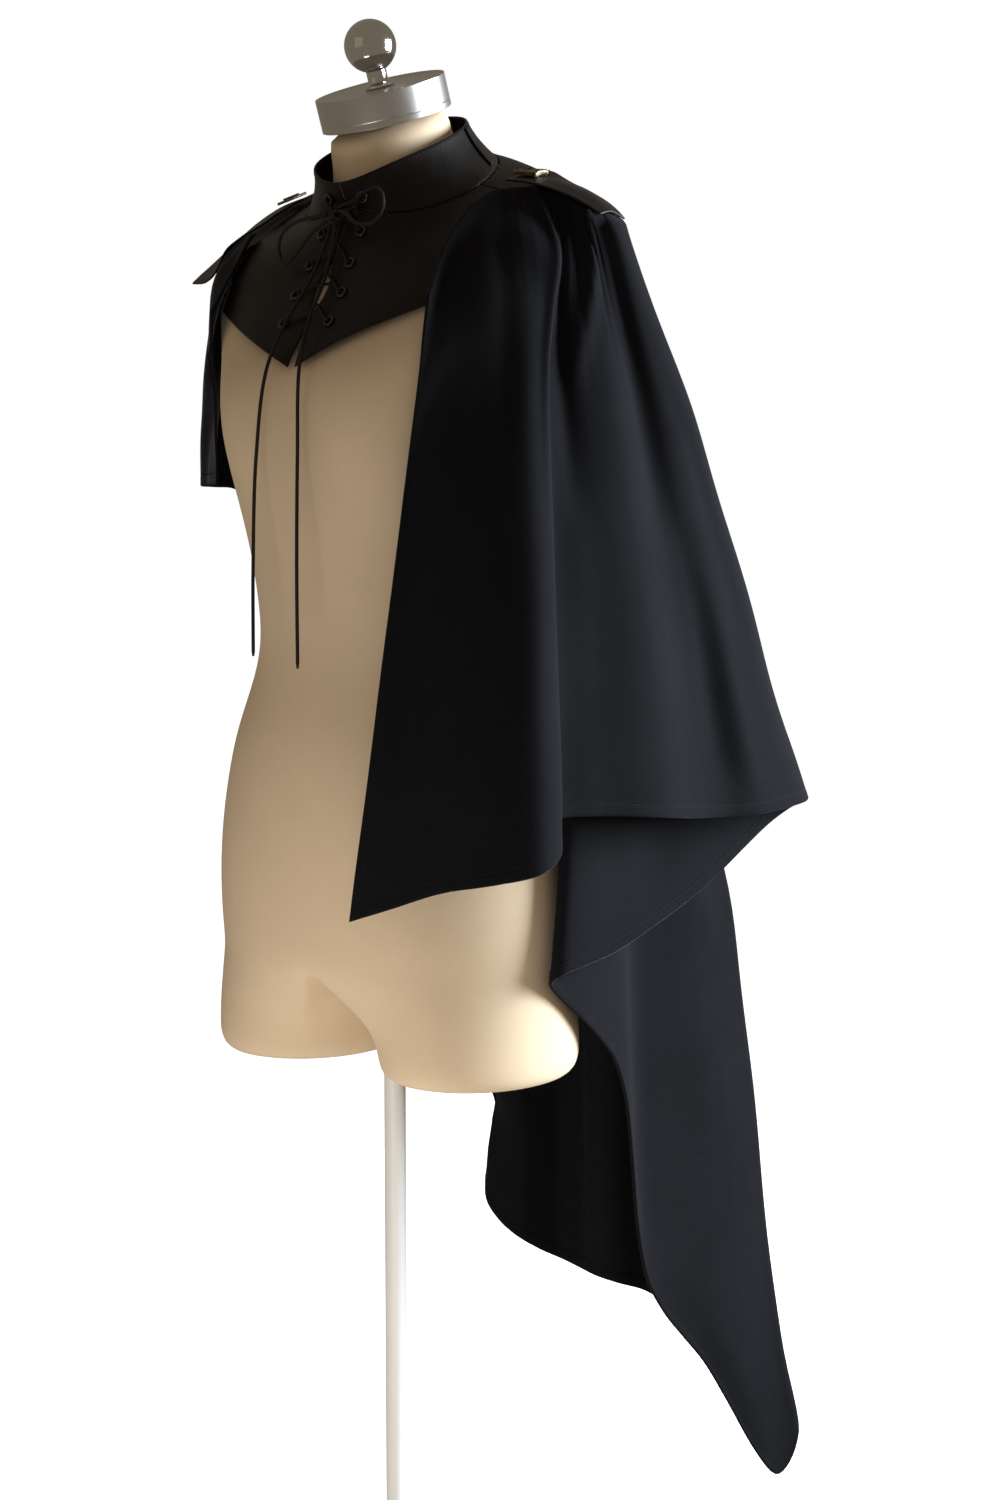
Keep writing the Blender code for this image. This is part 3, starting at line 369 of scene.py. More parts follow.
# Creases: guide at the top, guide at the hem, half width in guides, height, first share, last share
CREASES = (
    (3.4, 3.2, 0.3, -0.0022, -0.2, 0.45),
    (5.35, 4.2, 0.24, 0.0042, -0.25, 0.5),
    (6.1, 7.6, 0.34, -0.0062, -0.12, 0.55),
    (6.15, 5.2, 0.16, 0.003, -0.1, 0.12),
    (8.75, 2.6, 0.3, 0.0058, -0.28, 0.36),
    (8.45, 8.1, 0.12, -0.0042, -0.08, 0.09),
    (9.75, 8.2, 0.42, -0.005, -0.1, 0.55),
    (9.6, 9.4, 0.3, -0.004, 0.45, 1.25),
    (9.95, 9.9, 0.22, 0.003, 0.55, 1.25),
    (10.6, 10.5, 0.3, -0.0022, 0.25, 0.85),
    (2.2, 2.0, 0.55, 0.003, 0.25, 0.85),
    (1.2, 0.9, 0.4, -0.0024, 0.45, 1.1),
    (14.3, 14.4, 0.3, 0.003, 0.55, 1.1),
    (21.05, 21.05, 0.72, 0.01, 0.2, 1.25),
    (19.7, 19.9, 0.35, -0.003, 0.5, 1.1),
    (24.6, 24.7, 0.3, 0.0036, 0.3, 0.95),
    (25.6, 25.4, 0.25, -0.0034, 0.2, 0.8),
    (27.4, 27.6, 0.3, 0.004, 0.35, 1.05),
    (28.6, 28.4, 0.25, -0.003, 0.25, 0.75),
    (30.4, 30.4, 0.3, 0.0034, 0.3, 0.9),
    (32.6, 32.9, 0.35, -0.004, 0.25, 0.95),
    (33.7, 33.8, 0.3, 0.0034, 0.15, 0.8),
    (35.5, 35.4, 0.35, -0.0034, 0.2, 0.95),
    (36.6, 36.7, 0.3, 0.0026, 0.25, 1.05),
)
# Tuck of the cloth's upper edge under the shoulder flaps: guide, way it runs on in x, y, z
TUCKS = (
    (0.0, 0.0, 0.0, 0.0),
    (2.8, 0.0, 0.0, 0.0),
    (3.6, 0.001, 0.01, 0.002),
    (5.0, 0.0, 0.013, 0.004),
    (8.2, 0.0, 0.013, 0.004),
    (9.0, -0.004, 0.013, 0.006),
    (10.0, -0.02, 0.006, 0.0175),
    (11.0, -0.022, 0.0, 0.0225),
    (12.0, -0.021, -0.003, 0.0195),
    (13.0, -0.016, -0.008, 0.012),
    (14.0, -0.006, -0.012, 0.006),
    (15.0, -0.002, -0.012, 0.003),
    (18.0, 0.0, -0.011, 0.003),
    (19.4, 0.0, 0.0, 0.0),
    (33.4, 0.0, 0.0, 0.0),
    (35.0, 0.0, -0.012, 0.003),
    (36.0, 0.004, -0.01, 0.006),
    (37.0, 0.006, -0.006, 0.009),
    (38.0, 0.006, 0.01, 0.011),
    (39.0, 0.002, 0.013, 0.011),
    (39.8, 0.0, 0.006, 0.002),
    (40.2, 0.0, 0.0, 0.0),
    (41.0, 0.0, 0.0, 0.0),
)
TUCK_ROWS = 8
TURN_IN = 0.0012
# Soft pushes of the cloth along one level way: guide, half width, share, half share, distance
PUSH_WAY = (0.772, 0.636, 0.0)
PUSHES = (
    (11.2, 1.8, 0.3, 0.13, 0.0045),
    (11.2, 1.8, 0.82, 0.15, -0.0058),
    (22.5, 2.2, 0.545, 0.07, 0.007),
    (22.5, 2.2, 0.83, 0.1, -0.0065),
    (22.9, 1.0, 1.0, 0.045, 0.009),
    (30.0, 1.0, 0.9, 0.05, 0.012),
)
# Small gathers along the seam: first guide, last guide, number of puckers, height, how far down they fade
GATHERS = (
    (3.6, 9.4, 15, 0.0016, 0.1),
    (19.0, 33.0, 34, 0.0012, 0.05),
    (33.0, 37.6, 10, 0.0012, 0.16),
)

# Stitching; the facing's line runs over the left yoke, x and z from low to high
FACING_STITCH = (
    (0.037, 1.245),
    (0.05, 1.258),
    (0.06, 1.271),
    (0.068, 1.288),
    (0.077, 1.295),
    (0.083, 1.301),
)
STITCH_PITCH = 0.0032
STITCH_LONG = 0.0024
THREAD_RADIUS = 0.00028
BLACK_THREAD = (0.004, 0.004, 0.005)
BROWN_THREAD = (0.012, 0.01, 0.009)

# Camera of the photo
CAMERA_PLACE = (1.40517, -1.5606, 1.13)
CAMERA_LOOK = (-0.63174, 0.76731, -0.11016)
CAMERA_LENS = 58.46
CAMERA_SENSOR = 36.0

# Lights: name, place, the point that it faces, size, colour
LAMPS = (
    ("key", (2.1, 1.85, 1.6), (0.0, 0.0, 0.95), 1.6, (0.84, 0.92, 1.0)),
    ("low", (0.2, -0.62, 0.28), (0.03, 0.0, 0.78), 0.45, (1.0, 0.95, 0.9)),
    ("fill", (-0.6, -3.4, 1.9), (0.0, 0.0, 0.95), 2.4, (1.0, 0.86, 0.7)),
)
WARM_SURROUND = (1.0, 0.84, 0.66, 1.0)


def smooth(values, places, amounts):
    """Amounts at these values on the smooth curve through the given points; the places rise."""
    places = np.asarray(places, float)
    amounts = np.asarray(amounts, float)
    values = np.asarray(values, float)
    slopes = np.gradient(amounts, places, axis=0)
    i = np.clip(np.searchsorted(places, values) - 1, 0, len(places) - 2)
    step = places[i + 1] - places[i]
    t = np.clip((values - places[i]) / step, 0.0, 1.0)
    spread = t.shape + (1,) * (amounts.ndim - 1)
    t = t.reshape(spread)
    step = step.reshape(spread)
    a = 2 * t ** 3 - 3 * t ** 2 + 1
    b = t ** 3 - 2 * t ** 2 + t
    c = 3 * t ** 2 - 2 * t ** 3
    d = t ** 3 - t ** 2
    return a * amounts[i] + b * step * slopes[i] + c * amounts[i + 1] + d * step * slopes[i + 1]


def chord_places(points):
    """Places along a line of points, by the root of the distance between neighbours."""
    steps = np.sqrt(np.linalg.norm(np.diff(points, axis=0), axis=1))
    return np.concatenate([[0.0], np.cumsum(steps)])


def run_lengths(line):
    """Lengths along a line of points, from its start."""
    return np.concatenate([[0.0], np.cumsum(np.linalg.norm(np.diff(line, axis=0), axis=1))])


def rows_at(at, places, rows):
    """Rows of a table at these places, straight between its own."""
    return np.stack([np.interp(at, places, rows[:, k]) for k in range(3)], axis=-1)


def even_line(points, count):
    """Evenly spaced points on the smooth curve through the given ones."""
    points = np.asarray(points, float)
    places = chord_places(points)
    fine = smooth(np.linspace(0, places[-1], count * 6), places, points)
    run = run_lengths(fine)
    return rows_at(np.linspace(0, run[-1], count), run, fine)


def unit(vectors):
    """The vectors at length one."""
    return vectors / np.maximum(np.linalg.norm(vectors, axis=-1, keepdims=True), 1e-12)


def grid_normals(grid):
    """Unit normals of a grid of points, rows down and columns along."""
    return unit(np.cross(np.gradient(grid, axis=0), np.gradient(grid, axis=1)))


def ease(value, low, high):
    """0 below low, 1 above high and a soft rise between."""
    t = np.clip((value - low) / (high - low), 0.0, 1.0)
    return t * t * (3 - 2 * t)


def form_point(height, angle):
    """Points of the form on the rings at these heights, at angles from the front towards the left."""
    height, angle = np.broadcast_arrays(np.asarray(height, float), np.asarray(angle, float))
    row = smooth(height, FORM_TABLE[:, 0], FORM_TABLE[:, 1:])
    centre, half, front, back, lean, power = np.moveaxis(row, -1, 0)
    s, c = np.sin(angle), np.cos(angle)
    depth = np.where(c > 0, front, back)
    x = half * np.sign(s) * np.abs(s) ** (2 / power)
    y = centre - depth * np.sign(c) * np.abs(c) ** (2 / power)
    z = height + lean * (y - centre)
    reach = ((np.abs(x) - BUST_X) / BUST_REACH_X) ** 2 + ((z - BUST_Z) / BUST_REACH_Z) ** 2
    y = y - np.where(c > 0, BUST_OUT * np.exp(-reach) * np.minimum(1.0, 3 * c), 0.0)
    return np.stack([x, y, z], axis=-1)


def form_height(z, angle):
    """Ring heights whose points at these angles lie at z."""
    height = np.asarray(z, float) + 0.0 * np.asarray(angle, float)
    for _ in range(12):
        height = height + 0.8 * (z - form_point(height, angle)[..., 2])
    return height


def form_off(height, angle, lift):
    """Points of the form moved out along its own normal."""
    d = 1e-4
    angle = np.asarray(angle, float)
    height = np.asarray(height, float)
    across = form_point(height, angle + d) - form_point(height, angle - d)
    up = form_point(height + d, angle) - form_point(height - d, angle)
    return form_point(height, angle) + np.asarray(lift)[..., None] * unit(np.cross(across, up))


def form_cloud():
    """Points of the form from the hips up, close together, with their normals."""
    height, angle = np.meshgrid(np.linspace(0.73, 1.43, 100), np.arange(96) * 2 * math.pi / 96, indexing="ij")
    points = form_point(height, angle).reshape(-1, 3)
    normals = (form_off(height, angle, 0.01).reshape(-1, 3) - points) * 100
    return points, normals


def clear_of_form(spots, cloud, gap):
    """The points, each moved out along the form's normal where it lies closer than the gap."""
    points, normals = cloud
    shape = spots.shape
    spots = spots.reshape(-1, 3).copy()
    high = np.flatnonzero(spots[:, 2] >= 0.72)
    for _ in range(3):
        for part in np.array_split(high, max(1, len(high) // 200)):
            here = spots[part]
            away = ((here ** 2).sum(1)[:, None] + (points ** 2).sum(1)[None, :] - 2 * here @ points.T)
            near = np.argmin(away, axis=1)
            depth = ((here - points[near]) * normals[near]).sum(1)
            spots[part] = here + normals[near] * np.maximum(gap - depth, 0.0)[:, None]
    return spots.reshape(shape)


def from_front(angle):
    """Angles from the front in degrees, between -180 and 180."""
    return np.degrees(np.arctan2(np.sin(angle), np.cos(angle)))


def seam_height(angle):
    """Ring height of the seam between the stand and the yoke."""
    return SEAM_HEIGHT + SEAM_FRONT_RISE * np.exp(-(from_front(angle) / SEAM_RISE_REACH) ** 2)


def stand_point(angle, share, layer):
    """Points of the stand: share 0 at the seam and 1 at the top, layer 0 inside and 1 outside."""
    angle, share, layer = np.broadcast_arrays(*(np.asarray(v, float) for v in (angle, share, layer)))
    base = form_off(seam_height(angle), angle, UNDER_LEATHER + LEATHER * layer)
    radius = STAND_TOP_RADIUS - LEATHER * (1 - layer)
    degrees = from_front(angle)
    x = radius * np.sin(angle)
    y = -radius * np.cos(angle)
    z = STAND_TOP_Z + STAND_TOP_LEAN * y - STAND_DIP * np.exp(-(degrees / STAND_DIP_REACH) ** 2)
    spot = base + (np.stack([x, y, z], axis=-1) - base) * share[..., None]
    out = np.stack([np.sin(angle), -np.cos(angle), 0.0 * angle], axis=-1)
    sink = STAND_HOLLOW * 4 * share * (1 - share) * np.minimum(1.0, np.abs(degrees) / 40.0)
    return spot - out * sink[..., None]


def front_gap(z):
    """Half the opening between the laced fronts at these heights."""
    table = np.asarray(FRONT_GAP)
    return smooth(z, table[:, 0], table[:, 1])


def angle_at(x, place, low, high, rounds):
    """Angles between low and high whose places lie at these x, found by halving."""
    few = np.full_like(x, low)
    many = np.full_like(x, high)
    for _ in range(rounds):
        angle = (few + many) / 2
        short = place(angle)[..., 0] < x
        few = np.where(short, angle, few)
        many = np.where(short, many, angle)
    return angle


def front_spot(x, z):
    """Angles and ring heights of the form's front at these x and z."""
    angle = angle_at(x, lambda a: form_point(form_height(z, a), a), 0.0, math.radians(SHOULDER_SEAM), 24)
    return angle, form_height(z, angle)


def front_leather(x, z, lift):
    """Points over the leather fronts near the centre, this far out from their outer face, and the normals."""
    x, z, lift = np.broadcast_arrays(*(np.asarray(v, float) for v in (x, z, lift)))

    def at_angle(angle, at_z):
        low = form_off(seam_height(angle), angle, UNDER_LEATHER + LEATHER)[..., 2]
        high = stand_point(angle, 1.0, 1)[..., 2]
        body = form_off(form_height(at_z, angle), angle, UNDER_LEATHER + LEATHER)
        neck = stand_point(angle, (at_z - low) / (high - low), 1)
        return np.where((at_z <= low)[..., None], body, neck)

    def spot(at_x, at_z):
        return at_angle(angle_at(at_x, lambda a: at_angle(a, at_z), -1.0, 1.0, 30), at_z)

    d = 0.002
    right = spot(x + d, z) - spot(x - d, z)
    up = spot(x, z + d) - spot(x, z - d)
    normal = unit(np.cross(right, up))
    return spot(x, z) + normal * lift[..., None], normal


def add_piece(name, points, faces, finish, uv=None):
    """A closed mesh piece in its place, with its faces turned outwards."""
    mesh = bpy.data.meshes.new(name)
    mesh.from_pydata(np.asarray(points).tolist(), [], [tuple(f) for f in faces])
    bm = bmesh.new()
    bm.from_mesh(mesh)
    bmesh.ops.recalc_face_normals(bm, faces=bm.faces)
    if bm.calc_volume(signed=True) < 0:
        bmesh.ops.reverse_faces(bm, faces=bm.faces)
    bm.to_mesh(mesh)
    bm.free()
    if uv is not None:
        corner = np.zeros(len(mesh.loops), np.int32)
        mesh.loops.foreach_get("vertex_index", corner)
        layer = mesh.uv_layers.new(name="cut")
        layer.data.foreach_set("uv", np.asarray(uv, np.float32)[corner].ravel())
    mesh.shade_smooth()
    obj = bpy.data.objects.new(name, mesh)
    bpy.context.scene.collection.objects.link(obj)
    return dress(obj, finish)


def dress(obj, finish):
    """Give a piece its finish, and let it ride on the part."""
    obj.data.materials.clear()
    obj.data.materials.append(finish)
    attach(obj, "root")
    return obj


def tube_faces(rings, sides):
    """Faces of a tube through rings of points, with its two end caps last."""
    faces = []
    for k in range(rings - 1):
        for i in range(sides):
            j = (i + 1) % sides
            faces.append((k * sides + i, k * sides + j, (k + 1) * sides + j, (k + 1) * sides + i))
    return faces + [tuple(reversed(range(sides))), tuple(range((rings - 1) * sides, rings * sides))]


def wall_parts(inner, outer):
    """Points and faces of a closed wall between two grids of points, rows by columns."""
    rows, cols = inner.shape[:2]
    far = rows * cols
    points = np.concatenate([inner.reshape(-1, 3), outer.reshape(-1, 3)])
    a = (np.arange(rows - 1)[:, None] * cols + np.arange(cols - 1)[None, :]).ravel()
    near_faces = np.stack([a, a + 1, a + cols + 1, a + cols], axis=1)
    far_faces = np.stack([a, a + cols, a + cols + 1, a + 1], axis=1) + far
    edge = list(range(cols))
    edge += [r * cols + cols - 1 for r in range(1, rows)]
    edge += [(rows - 1) * cols + c for c in range(cols - 2, -1, -1)]
    edge += [r * cols for r in range(rows - 2, 0, -1)]
    edge = np.array(edge)
    after = np.roll(edge, -1)
    rim = np.stack([edge, edge + far, after + far, after], axis=1)
    return points, np.concatenate([near_faces, far_faces, rim])


def grid_uv(grid):
    """Lengths along and down a grid, in metres, for each of its points."""
    along = np.cumsum(np.linalg.norm(np.diff(grid, axis=1), axis=2), axis=1)
    down = np.cumsum(np.linalg.norm(np.diff(grid, axis=0), axis=2), axis=0)
    return np.stack([np.pad(along, ((0, 0), (1, 0))), np.pad(down, ((1, 0), (0, 0)))], axis=-1)


def grid_area(grid):
    """Area of a grid of points, in square metres."""
    return float(np.linalg.norm(np.cross(grid[1:, 1:] - grid[:-1, :-1], grid[1:, :-1] - grid[:-1, 1:]),
                                axis=2).sum() / 2)


def rim_weights(grid, depth):
    """Weights of a grid: 0 on its edges, 1 further in than the depth."""
    uv = grid_uv(grid)
    along = np.minimum(uv[..., 0], uv[:, -1:, 0] - uv[..., 0])
    down = np.minimum(uv[..., 1], uv[-1:, :, 1] - uv[..., 1])
    share = np.clip(np.minimum(along, down) / depth, 0.0, 1.0)
    return np.sqrt(1 - (1 - share) ** 2)


def close_shares(count, edge=(0.004, 0.012)):
    """Shares from 0 to 1 with a few close to both ends."""
    inside = np.linspace(0, 1, count + 1)[1:-1]
    return np.concatenate([[0.0], edge, inside, [1 - e for e in reversed(edge)], [1.0]])


def leather_wall(name, inner, outer, finish):
    """A leather piece between two grids, with rounded edges, and its area."""
    middle = (inner + outer) / 2
    keep = (0.35 + 0.65 * rim_weights(middle, 0.0012))[..., None]
    points, faces = wall_parts(middle + (inner - middle) * keep, middle + (outer - middle) * keep)
    uv = grid_uv(middle).reshape(-1, 2)
    piece = add_piece(name, points, faces, finish, np.concatenate([uv, uv]))
    return piece, grid_area(middle)


def stitches(name, runs, finish):
    """Thread stitches along runs of points with normals, as one piece."""
    d = 0.0006
    ring = 6
    turn = np.arange(ring) * 2 * math.pi / ring
    stations = ((-0.5, 0.35, -0.9), (-0.36, 0.9, 0.0), (0.0, 1.0, 0.35), (0.36, 0.9, 0.0), (0.5, 0.35, -0.9))
    shape = np.concatenate([np.stack([np.full(ring, a * STITCH_LONG), THREAD_RADIUS * w * np.cos(turn),
                                      THREAD_RADIUS * (w * np.sin(turn) + h)], axis=1) for a, w, h in stations])
    one = tube_faces(len(stations), ring)
    points, faces = [], []
    for line, normals in runs:
        run = run_lengths(line)
        count = int(run[-1] / STITCH_PITCH)
        for k in range(count):
            at = (k + 0.5) * run[-1] / count
            along = unit(rows_at(at + d, run, line) - rows_at(at - d, run, line))
            across = unit(np.cross(unit(rows_at(at, run, normals)), along))
            base = len(points) * len(shape)
            points.append(rows_at(at, run, line) + shape @ np.stack([along, across, np.cross(along, across)]))
            faces += [tuple(base + i for i in f) for f in one]
    return add_piece(name, np.concatenate(points), faces, finish)


def cord_piece(name, line, radius, finish, sides=12):
    """A round cord along a line of points, as a mesh tube with rounded ends, and its length."""
    ahead = unit(np.gradient(line, axis=0))
    across = np.zeros_like(line)
    first = np.cross(ahead[0], (0.0, 0.0, 1.0))
    if np.linalg.norm(first) < 0.1:
        first = np.cross(ahead[0], (1.0, 0.0, 0.0))
    across[0] = unit(first)
    for k in range(1, len(line)):
        across[k] = unit(across[k - 1] - ahead[k] * (across[k - 1] @ ahead[k]))
    up = np.cross(ahead, across)
    turn = np.arange(sides) * 2 * math.pi / sides
    size = np.full(len(line), radius)
    size[0] = size[-1] = radius * 0.62
    rings = (line[:, None] + size[:, None, None] * (across[:, None] * np.cos(turn)[None, :, None]
                                                    + up[:, None] * np.sin(turn)[None, :, None]))
    run = run_lengths(line)
    faces = tube_faces(len(line), sides)
    wrap = 1 - np.abs(2 * np.arange(sides) / sides - 1)
    uv = np.stack([np.broadcast_to(wrap * math.pi * radius, (len(line), sides)),
                   np.broadcast_to(run[:, None], (len(line), sides))], axis=-1).reshape(-1, 2)
    return add_piece(name, rings.reshape(-1, 3), faces, finish, uv), float(run[-1])


class Finish:
    """A procedural material in the making, on the piece's own place and its map in metres."""

    def __init__(self, name):
        self.made = bpy.data.materials.new(name)
        self.made.use_nodes = True
        self.tree = self.made.node_tree
        self.shader = self.tree.nodes["Principled BSDF"]
        place = self.node("TexCoord")
        self.place = place.outputs["Object"]
        self.map = place.outputs["UV"]

    def link(self, start, end):
        """Join an output to an input."""
        self.tree.links.new(start, end)

    def node(self, kind, *sources, **values):
        """A node with these values; its first inputs take the sources, links or plain numbers."""
        here = self.tree.nodes.new("ShaderNode" + kind)
        for key, value in values.items():
            if key in here.inputs:
                here.inputs[key].default_value = value
            else:
                setattr(here, key, value)
        for socket, source in zip(here.inputs, sources):
            if isinstance(source, float):
                socket.default_value = source
            else:
                self.link(source, socket)
        return here

    def mapped(self, **values):
        """The piece's map, stretched or turned."""
        return self.node("Mapping", self.map, **values).outputs["Vector"]

    def noise(self, scale, detail, roughness=0.5, source=None):
        """Noise over the piece's place, or over another source."""
        source = self.place if source is None else source
        return self.node("TexNoise", source, Scale=scale, Detail=detail, Roughness=roughness).outputs["Fac"]

    def maths(self, operation, *sources):
        """What an operation makes of its sources."""
        return self.node("Math", *sources, operation=operation).outputs["Value"]

    def mixed(self, factor, start, end):
        """A mix of two values."""
        mix = self.node("Mix", data_type="FLOAT", Factor=factor)
        self.link(start, mix.inputs["A"])
        self.link(end, mix.inputs["B"])
        return mix.outputs["Result"]

    def between(self, source, low, high):
        """A value that runs from low to high as the source goes from 0 to 1."""
        return self.node("MapRange", source, **{"To Min": low, "To Max": high}).outputs["Result"]

    def tint(self, source, low, high, colour, dark, light):
        """Colour the piece, from a dark share to a light share of the colour as the source goes from low to high."""
        ramp = self.node("ValToRGB", source)
        for end, at, share in zip(ramp.color_ramp.elements, (low, high), (dark, light)):
            end.position = at
            end.color = (*(share * v for v in colour), 1.0)
        self.link(ramp.outputs["Color"], self.shader.inputs["Base Color"])

    def roughen(self, source, low, high):
        """Let the roughness run from low to high with the source."""
        self.link(self.between(source, low, high), self.shader.inputs["Roughness"])

    def emboss(self, source, strength, distance, **values):
        """Raise the surface with the source."""
        bump = self.node("Bump", Strength=strength, Distance=distance, **values)
        self.link(source, bump.inputs["Height"])
        self.link(bump.outputs["Normal"], self.shader.inputs["Normal"])

    def done(self, values):
        """The material, with these constants on its shader."""
        for key, value in values.items():
            self.shader.inputs[key].default_value = value
        return self.made


def wool_finish(look):
    """Black felted cloth: crossing threads under a soft nap."""
    wool = Finish("cape_wool")
    threads = [wool.noise(1.0, 2.0, source=wool.mapped(Scale=scale))
               for scale in ((1900.0, 210.0, 1.0), (210.0, 1900.0, 1.0))]
    nap = wool.noise(1400.0, 3.0, 0.65)
    patch = wool.noise(14.0, 4.0, 0.6)
    pile = wool.mixed(0.5, nap, wool.maths("MAXIMUM", *threads))
    tone = wool.maths("MULTIPLY", pile, wool.between(patch, 0.75, 1.25))
    wool.tint(tone, 0.25, 0.75, look.cloth_colour, 0.55, 1.6)
    wool.roughen(nap, 0.82, 0.98)
    wool.emboss(pile, 0.55, 0.0003)
    return wool.done({"Specular IOR Level": 0.05, "Sheen Weight": 0.2, "Sheen Roughness": 0.28,
                      "Sheen Tint": (0.62, 0.64, 0.78, 1.0)})


def leather_finish(look):
    """Soft dark imitation leather: pebbled grain and a low, uneven sheen."""
    leather = Finish("collar_leather")
    pebble = leather.node("TexVoronoi", leather.place, Scale=820.0, Randomness=1.0, feature="SMOOTH_F1")
    patch = leather.noise(38.0, 4.0, 0.6)
    grain = leather.mixed(0.3, pebble.outputs["Distance"], leather.noise(2600.0, 2.0))
    leather.tint(patch, 0.3, 0.7, look.leather_colour, 0.6, 1.5)
    leather.roughen(patch, 0.36, 0.52)
    leather.emboss(grain, 0.35, 0.0004, invert=True)
    return leather.done({"Specular IOR Level": 0.18})


def linen_finish(look):
    """Tight cream linen: a plain weave with slubs and faint unevenness."""
    linen = Finish("form_linen")
    threads = [linen.node("TexWave", linen.map, Scale=360.0, Distortion=0.8, bands_direction=way).outputs["Fac"]
               for way in ("X", "Y")]
    slub = linen.noise(160.0, 4.0, 0.7)
    weave = linen.mixed(0.5, linen.maths("MULTIPLY", *threads), slub)
    tone = linen.maths("MULTIPLY_ADD", linen.noise(6.0, 4.0, 0.6), 0.75, linen.between(weave, -0.1, 0.25))
    linen.tint(tone, 0.2, 0.7, look.linen_colour, 0.9, 1.06)
    linen.roughen(slub, 0.78, 0.92)
    linen.emboss(weave, 0.25, 0.0002)
    return linen.done({"Specular IOR Level": 0.25, "Sheen Weight": 0.08, "Sheen Roughness": 0.5})


def metal_finish(name, colour, dark_share, rough, scale=None):
    """Metal with uneven polish: cloudy at a scale, or else brushed in fine lines round its axis."""
    metal = Finish(name)
    if scale is None:
        cloud = metal.noise(1.0, 5.0, 0.65, metal.mapped(Scale=(6.0, 3200.0, 1.0)))
    else:
        cloud = metal.noise(scale, 5.0, 0.65)
    metal.tint(cloud, 0.3, 0.7, colour, dark_share, 1.0)
    metal.roughen(cloud, rough * 0.75, rough * 1.3)
    metal.emboss(cloud, 0.12, 0.0002)
    return metal.done({"Metallic": 1.0})


def paint_finish(look):
    """Pale satin paint with a faint orange-peel surface."""
    paint = Finish("stand_paint")
    patch = paint.noise(9.0, 4.0)
    paint.tint(patch, 0.3, 0.7, look.stand_colour, 0.94, 1.0)
    paint.roughen(patch, 0.32, 0.45)
    paint.emboss(paint.noise(420.0, 2.0), 0.08, 0.0002)
    return paint.done({})


def cord_finish(look):
    """Black braided cord: two crossing sets of fine diagonal strands."""
    cord = Finish("lace_braid")
    strands = [cord.node("TexWave", cord.mapped(Rotation=(0.0, 0.0, math.radians(turn))), Scale=420.0,
                         bands_direction="Y").outputs["Fac"] for turn in (38.0, -38.0)]
    braid = cord.maths("MAXIMUM", *strands)
    cord.tint(braid, 0.3, 0.95, look.lace_colour, 0.5, 1.5)
    cord.roughen(braid, 0.75, 0.55)
    cord.emboss(braid, 0.5, 0.0003)
    return cord.done({"Specular IOR Level": 0.35})


def thread_finish(name, colour):
    """Fine sewing thread with a slight twist."""
    thread = Finish(name)
    thread.tint(thread.noise(2200.0, 2.0), 0.3, 0.7, colour, 0.6, 1.0)
    return thread.done({"Roughness": 0.7, "Specular IOR Level": 0.3})


def floor_finish(look):
    """Pale floor that glows a little, so that it shows no horizon."""
    floor = Finish("pale_floor")
    floor.tint(floor.noise(1.2, 3.0), 0.3, 0.7, look.floor_colour, 0.985, 1.0)
    return floor.done({"Roughness": 0.9, "Specular IOR Level": 0.1, "Emission Color": (0.93, 0.965, 1.0, 1.0),
                       "Emission Strength": 0.9})


def cape_guide(table, share):
    """Points of every guide line at a share: 0 at the seam and 1 at the hem."""
    swing = (1 - (1 - share) ** table[:, 6])[:, None]
    flat = table[:, 0:2] + (table[:, 3:5] - table[:, 0:2]) * swing
    return np.concatenate([flat, table[:, 2:3] + (table[:, 5:6] - table[:, 2:3]) * share], axis=1)


def cape_cage():
    """The middle surface of the solids: rows of points, their places along the cloth and the guides' places."""
    table = np.asarray(CAPE_GUIDES)
    places = chord_places(cape_guide(table, 0.75))
    spots = []
    for first, last, columns in CAPE_PANELS:
        ends = np.interp((first, last), range(len(places)), places)
        run = np.linspace(ends[0], ends[1], columns + 1)
        spots += list(run if not spots else run[1:])
    grid = np.stack([smooth(np.array(spots), places, cape_guide(table, (r / CAPE_ROWS) ** 1.2))
                     for r in range(CAPE_ROWS + 1)])
    cloud = form_cloud()
    for _ in range(2):
        grid = clear_of_form(grid, cloud, CLOTH_CLEAR)
        grid[1:-1] = grid[1:-1] * 0.6 + (grid[:-2] + grid[2:]) * 0.2
    return clear_of_form(grid, cloud, CLOTH_CLEAR), np.array(spots), places


